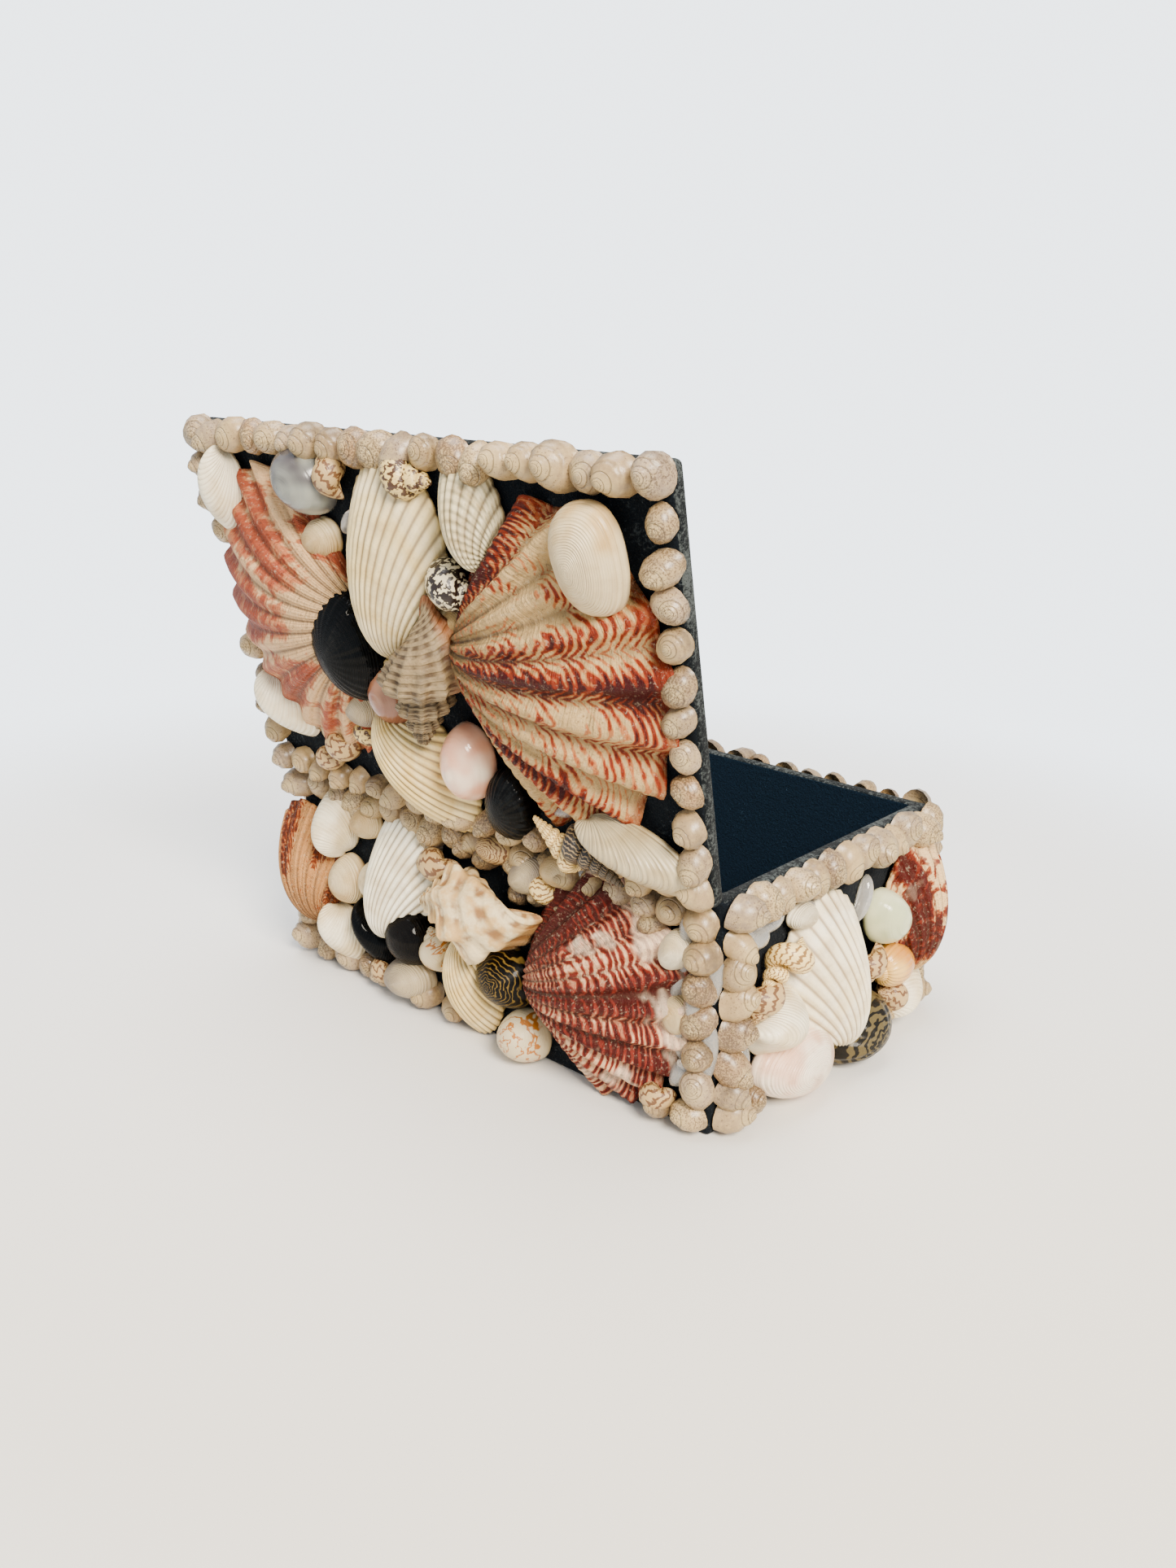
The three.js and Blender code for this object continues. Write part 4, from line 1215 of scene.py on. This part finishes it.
def bake(piece):
    """Applies the piece's modifiers, which makes it a plain mesh."""
    made = evaluated(piece)
    piece.modifiers.clear()
    piece.data = made


def rub_edges(piece, direction, rubbed):
    """Gives the pale rubbed velvet to the faces that the test picks by their middle and by how
    squarely they face the direction."""
    piece.data.materials.append(rubbed_velvet)
    for face in piece.data.polygons:
        if rubbed(face.center, face.normal.dot(Vector(direction))):
            face.material_index = len(piece.data.materials) - 1


x, y = LENGTH / 2, DEPTH / 2
tray = soft_box("tray_velvet", (-x, -y, 0), (x, y, HEIGHT), BOARD_ROUNDING, outside_velvet)
inner_x, inner_y, above_rim = x - BOARD, y - BOARD, HEIGHT + 40
hollow = soft_box(
    "hollow", (-inner_x, -inner_y, BOARD), (inner_x, inner_y, above_rim), HOLLOW_ROUNDING, inside_velvet
)
bake(hollow)
cut = tray.modifiers.new("hollow", "BOOLEAN")
cut.operation = "DIFFERENCE"
cut.object = hollow
cut.solver = "EXACT"
cut.material_mode = "TRANSFER"
rim = tray.modifiers.new("rim", "BEVEL")
rim.width = RIM_ROUNDING * MM
rim.segments = 3
rim.limit_method = "ANGLE"
rim.angle_limit = math.radians(50)
bake(tray)
bpy.data.objects.remove(hollow)
# Only the rim faces up so high above the ground, in metres.
rub_edges(tray, (0, 0, 1), lambda centre, facing: facing > 0.6 and centre[2] > 0.06)
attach(tray, "box")
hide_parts("box_tray")

lid_board = soft_box("lid_velvet", (-x, -y, -BOARD), (x, y, 0), BOARD_ROUNDING, outside_velvet)
bake(lid_board)
lay_on_panel(lid_board.data, mesh_points(lid_board.data) / MM, "lid")
rub_edges(lid_board, lid_out, lambda centre, facing: abs(facing) < 0.75)
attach(lid_board, "lid")
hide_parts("lid_board")

# The fold of the cloth hinge lies on its axis, so it looks the same however far the lid is open.
FOLD_SIDE, FOLD_DOWN, FOLD_UP, FOLD_ROUNDING = 1.05, 0.9, 1.2, 1.0
end = x - 5
low, high = (-end, y - FOLD_SIDE, HEIGHT - FOLD_DOWN), (end, y + FOLD_SIDE, HEIGHT + FOLD_UP)
fold = soft_box("hinge_fold", low, high, FOLD_ROUNDING, outside_velvet)
bake(fold)
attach(fold, "box")
for slot in frame["nodes"]["hinge_cloth"].material_slots:
    slot.material = outside_velvet


# Floor, light and camera


def pale_floor():
    """Matt pale paper with painted shade, darker and warmer where it is near and paler far off, that fades
    into the backdrop.
    """
    one = Shader("floor_paper", **{"Roughness": 0.9, "Specular IOR Level": 0.2})
    place = node(one.tree, "ShaderNodeSeparateXYZ", {0: one.object}).outputs
    x, y = Value(one, place[0]), Value(one, place[1])
    far = x * 0.818 + y * -0.575
    # Painted shade: the paper grows darker and warmer towards the camera.
    one.finish(one.ramp(one.step(far, -0.32, 0.12), (0.0, "#D3CAB9"), (1.0, "#ECEBE9")))
    away = one.math("SQRT", x * x + y * y)
    clear = node(one.tree, "ShaderNodeBsdfTransparent").outputs[0]
    both = node(
        one.tree, "ShaderNodeMixShader",
        {0: one.step(away, 0.2, 0.42), 1: one.shader.outputs[0], 2: clear},
    )
    one.tree.links.new(both.outputs[0], one.out.inputs["Surface"])
    return one.material


floor_corners = [(-6, -6, 0), (6, -6, 0), (6, 6, 0), (-6, 6, 0)]
floor = link("floor", mesh_from("floor", floor_corners, [(0, 1, 2, 3)]), pale_floor())

LIGHT_FROM_ROOM, BACKDROP = 1.25, 3.9
world = bpy.data.worlds.new("studio")
bpy.context.scene.world = world
world.use_nodes = True
backdrop = world.node_tree.nodes["Background"]
backdrop.inputs["Color"].default_value = hexcolour("#EDF4FB")
seen = node(world.node_tree, "ShaderNodeLightPath").outputs["Is Camera Ray"]
strength = node(
    world.node_tree, "ShaderNodeMapRange", {"Value": seen, "To Min": LIGHT_FROM_ROOM, "To Max": BACKDROP}
)
world.node_tree.links.new(strength.outputs["Result"], backdrop.inputs["Strength"])


def area_light(name, place, target, size, power, colour="#FFFFFF"):
    """A round lamp, its size in metres and its power in watts, that faces a target."""
    data = bpy.data.lights.new(name, "AREA")
    data.shape = "DISK"
    data.size = size
    data.energy = power
    data.color = hexcolour(colour)[:3]
    light = bpy.data.objects.new(name, data)
    bpy.context.scene.collection.objects.link(light)
    light.location = place
    light.rotation_euler = (Vector(target) - Vector(place)).to_track_quat("-Z", "Y").to_euler()


area_light("window", (-1.0, 0.6, 0.95), (0, 0.02, 0.05), 0.55, 56.0, "#FFF4E4")
area_light("top", (0.1, 0.1, 1.25), (0, 0, 0.05), 0.8, 17.0)

camera_data = bpy.data.cameras.new("camera")
camera = bpy.data.objects.new("camera", camera_data)
bpy.context.scene.collection.objects.link(camera)
camera_data.sensor_width = 36.0
camera_data.lens = 29.54
camera_data.clip_start, camera_data.clip_end = 0.01, 50
# The columns are the camera's directions right, up and back, and its place in metres.
camera.matrix_world = Matrix(
    (
        (-0.7588, 0.226, -0.61085, -0.23422),
        (-0.65022, -0.20848, 0.73058, 0.28979),
        (0.03776, 0.95156, 0.30515, 0.1819),
        (0, 0, 0, 1),
    )
)
bpy.context.scene.camera = camera
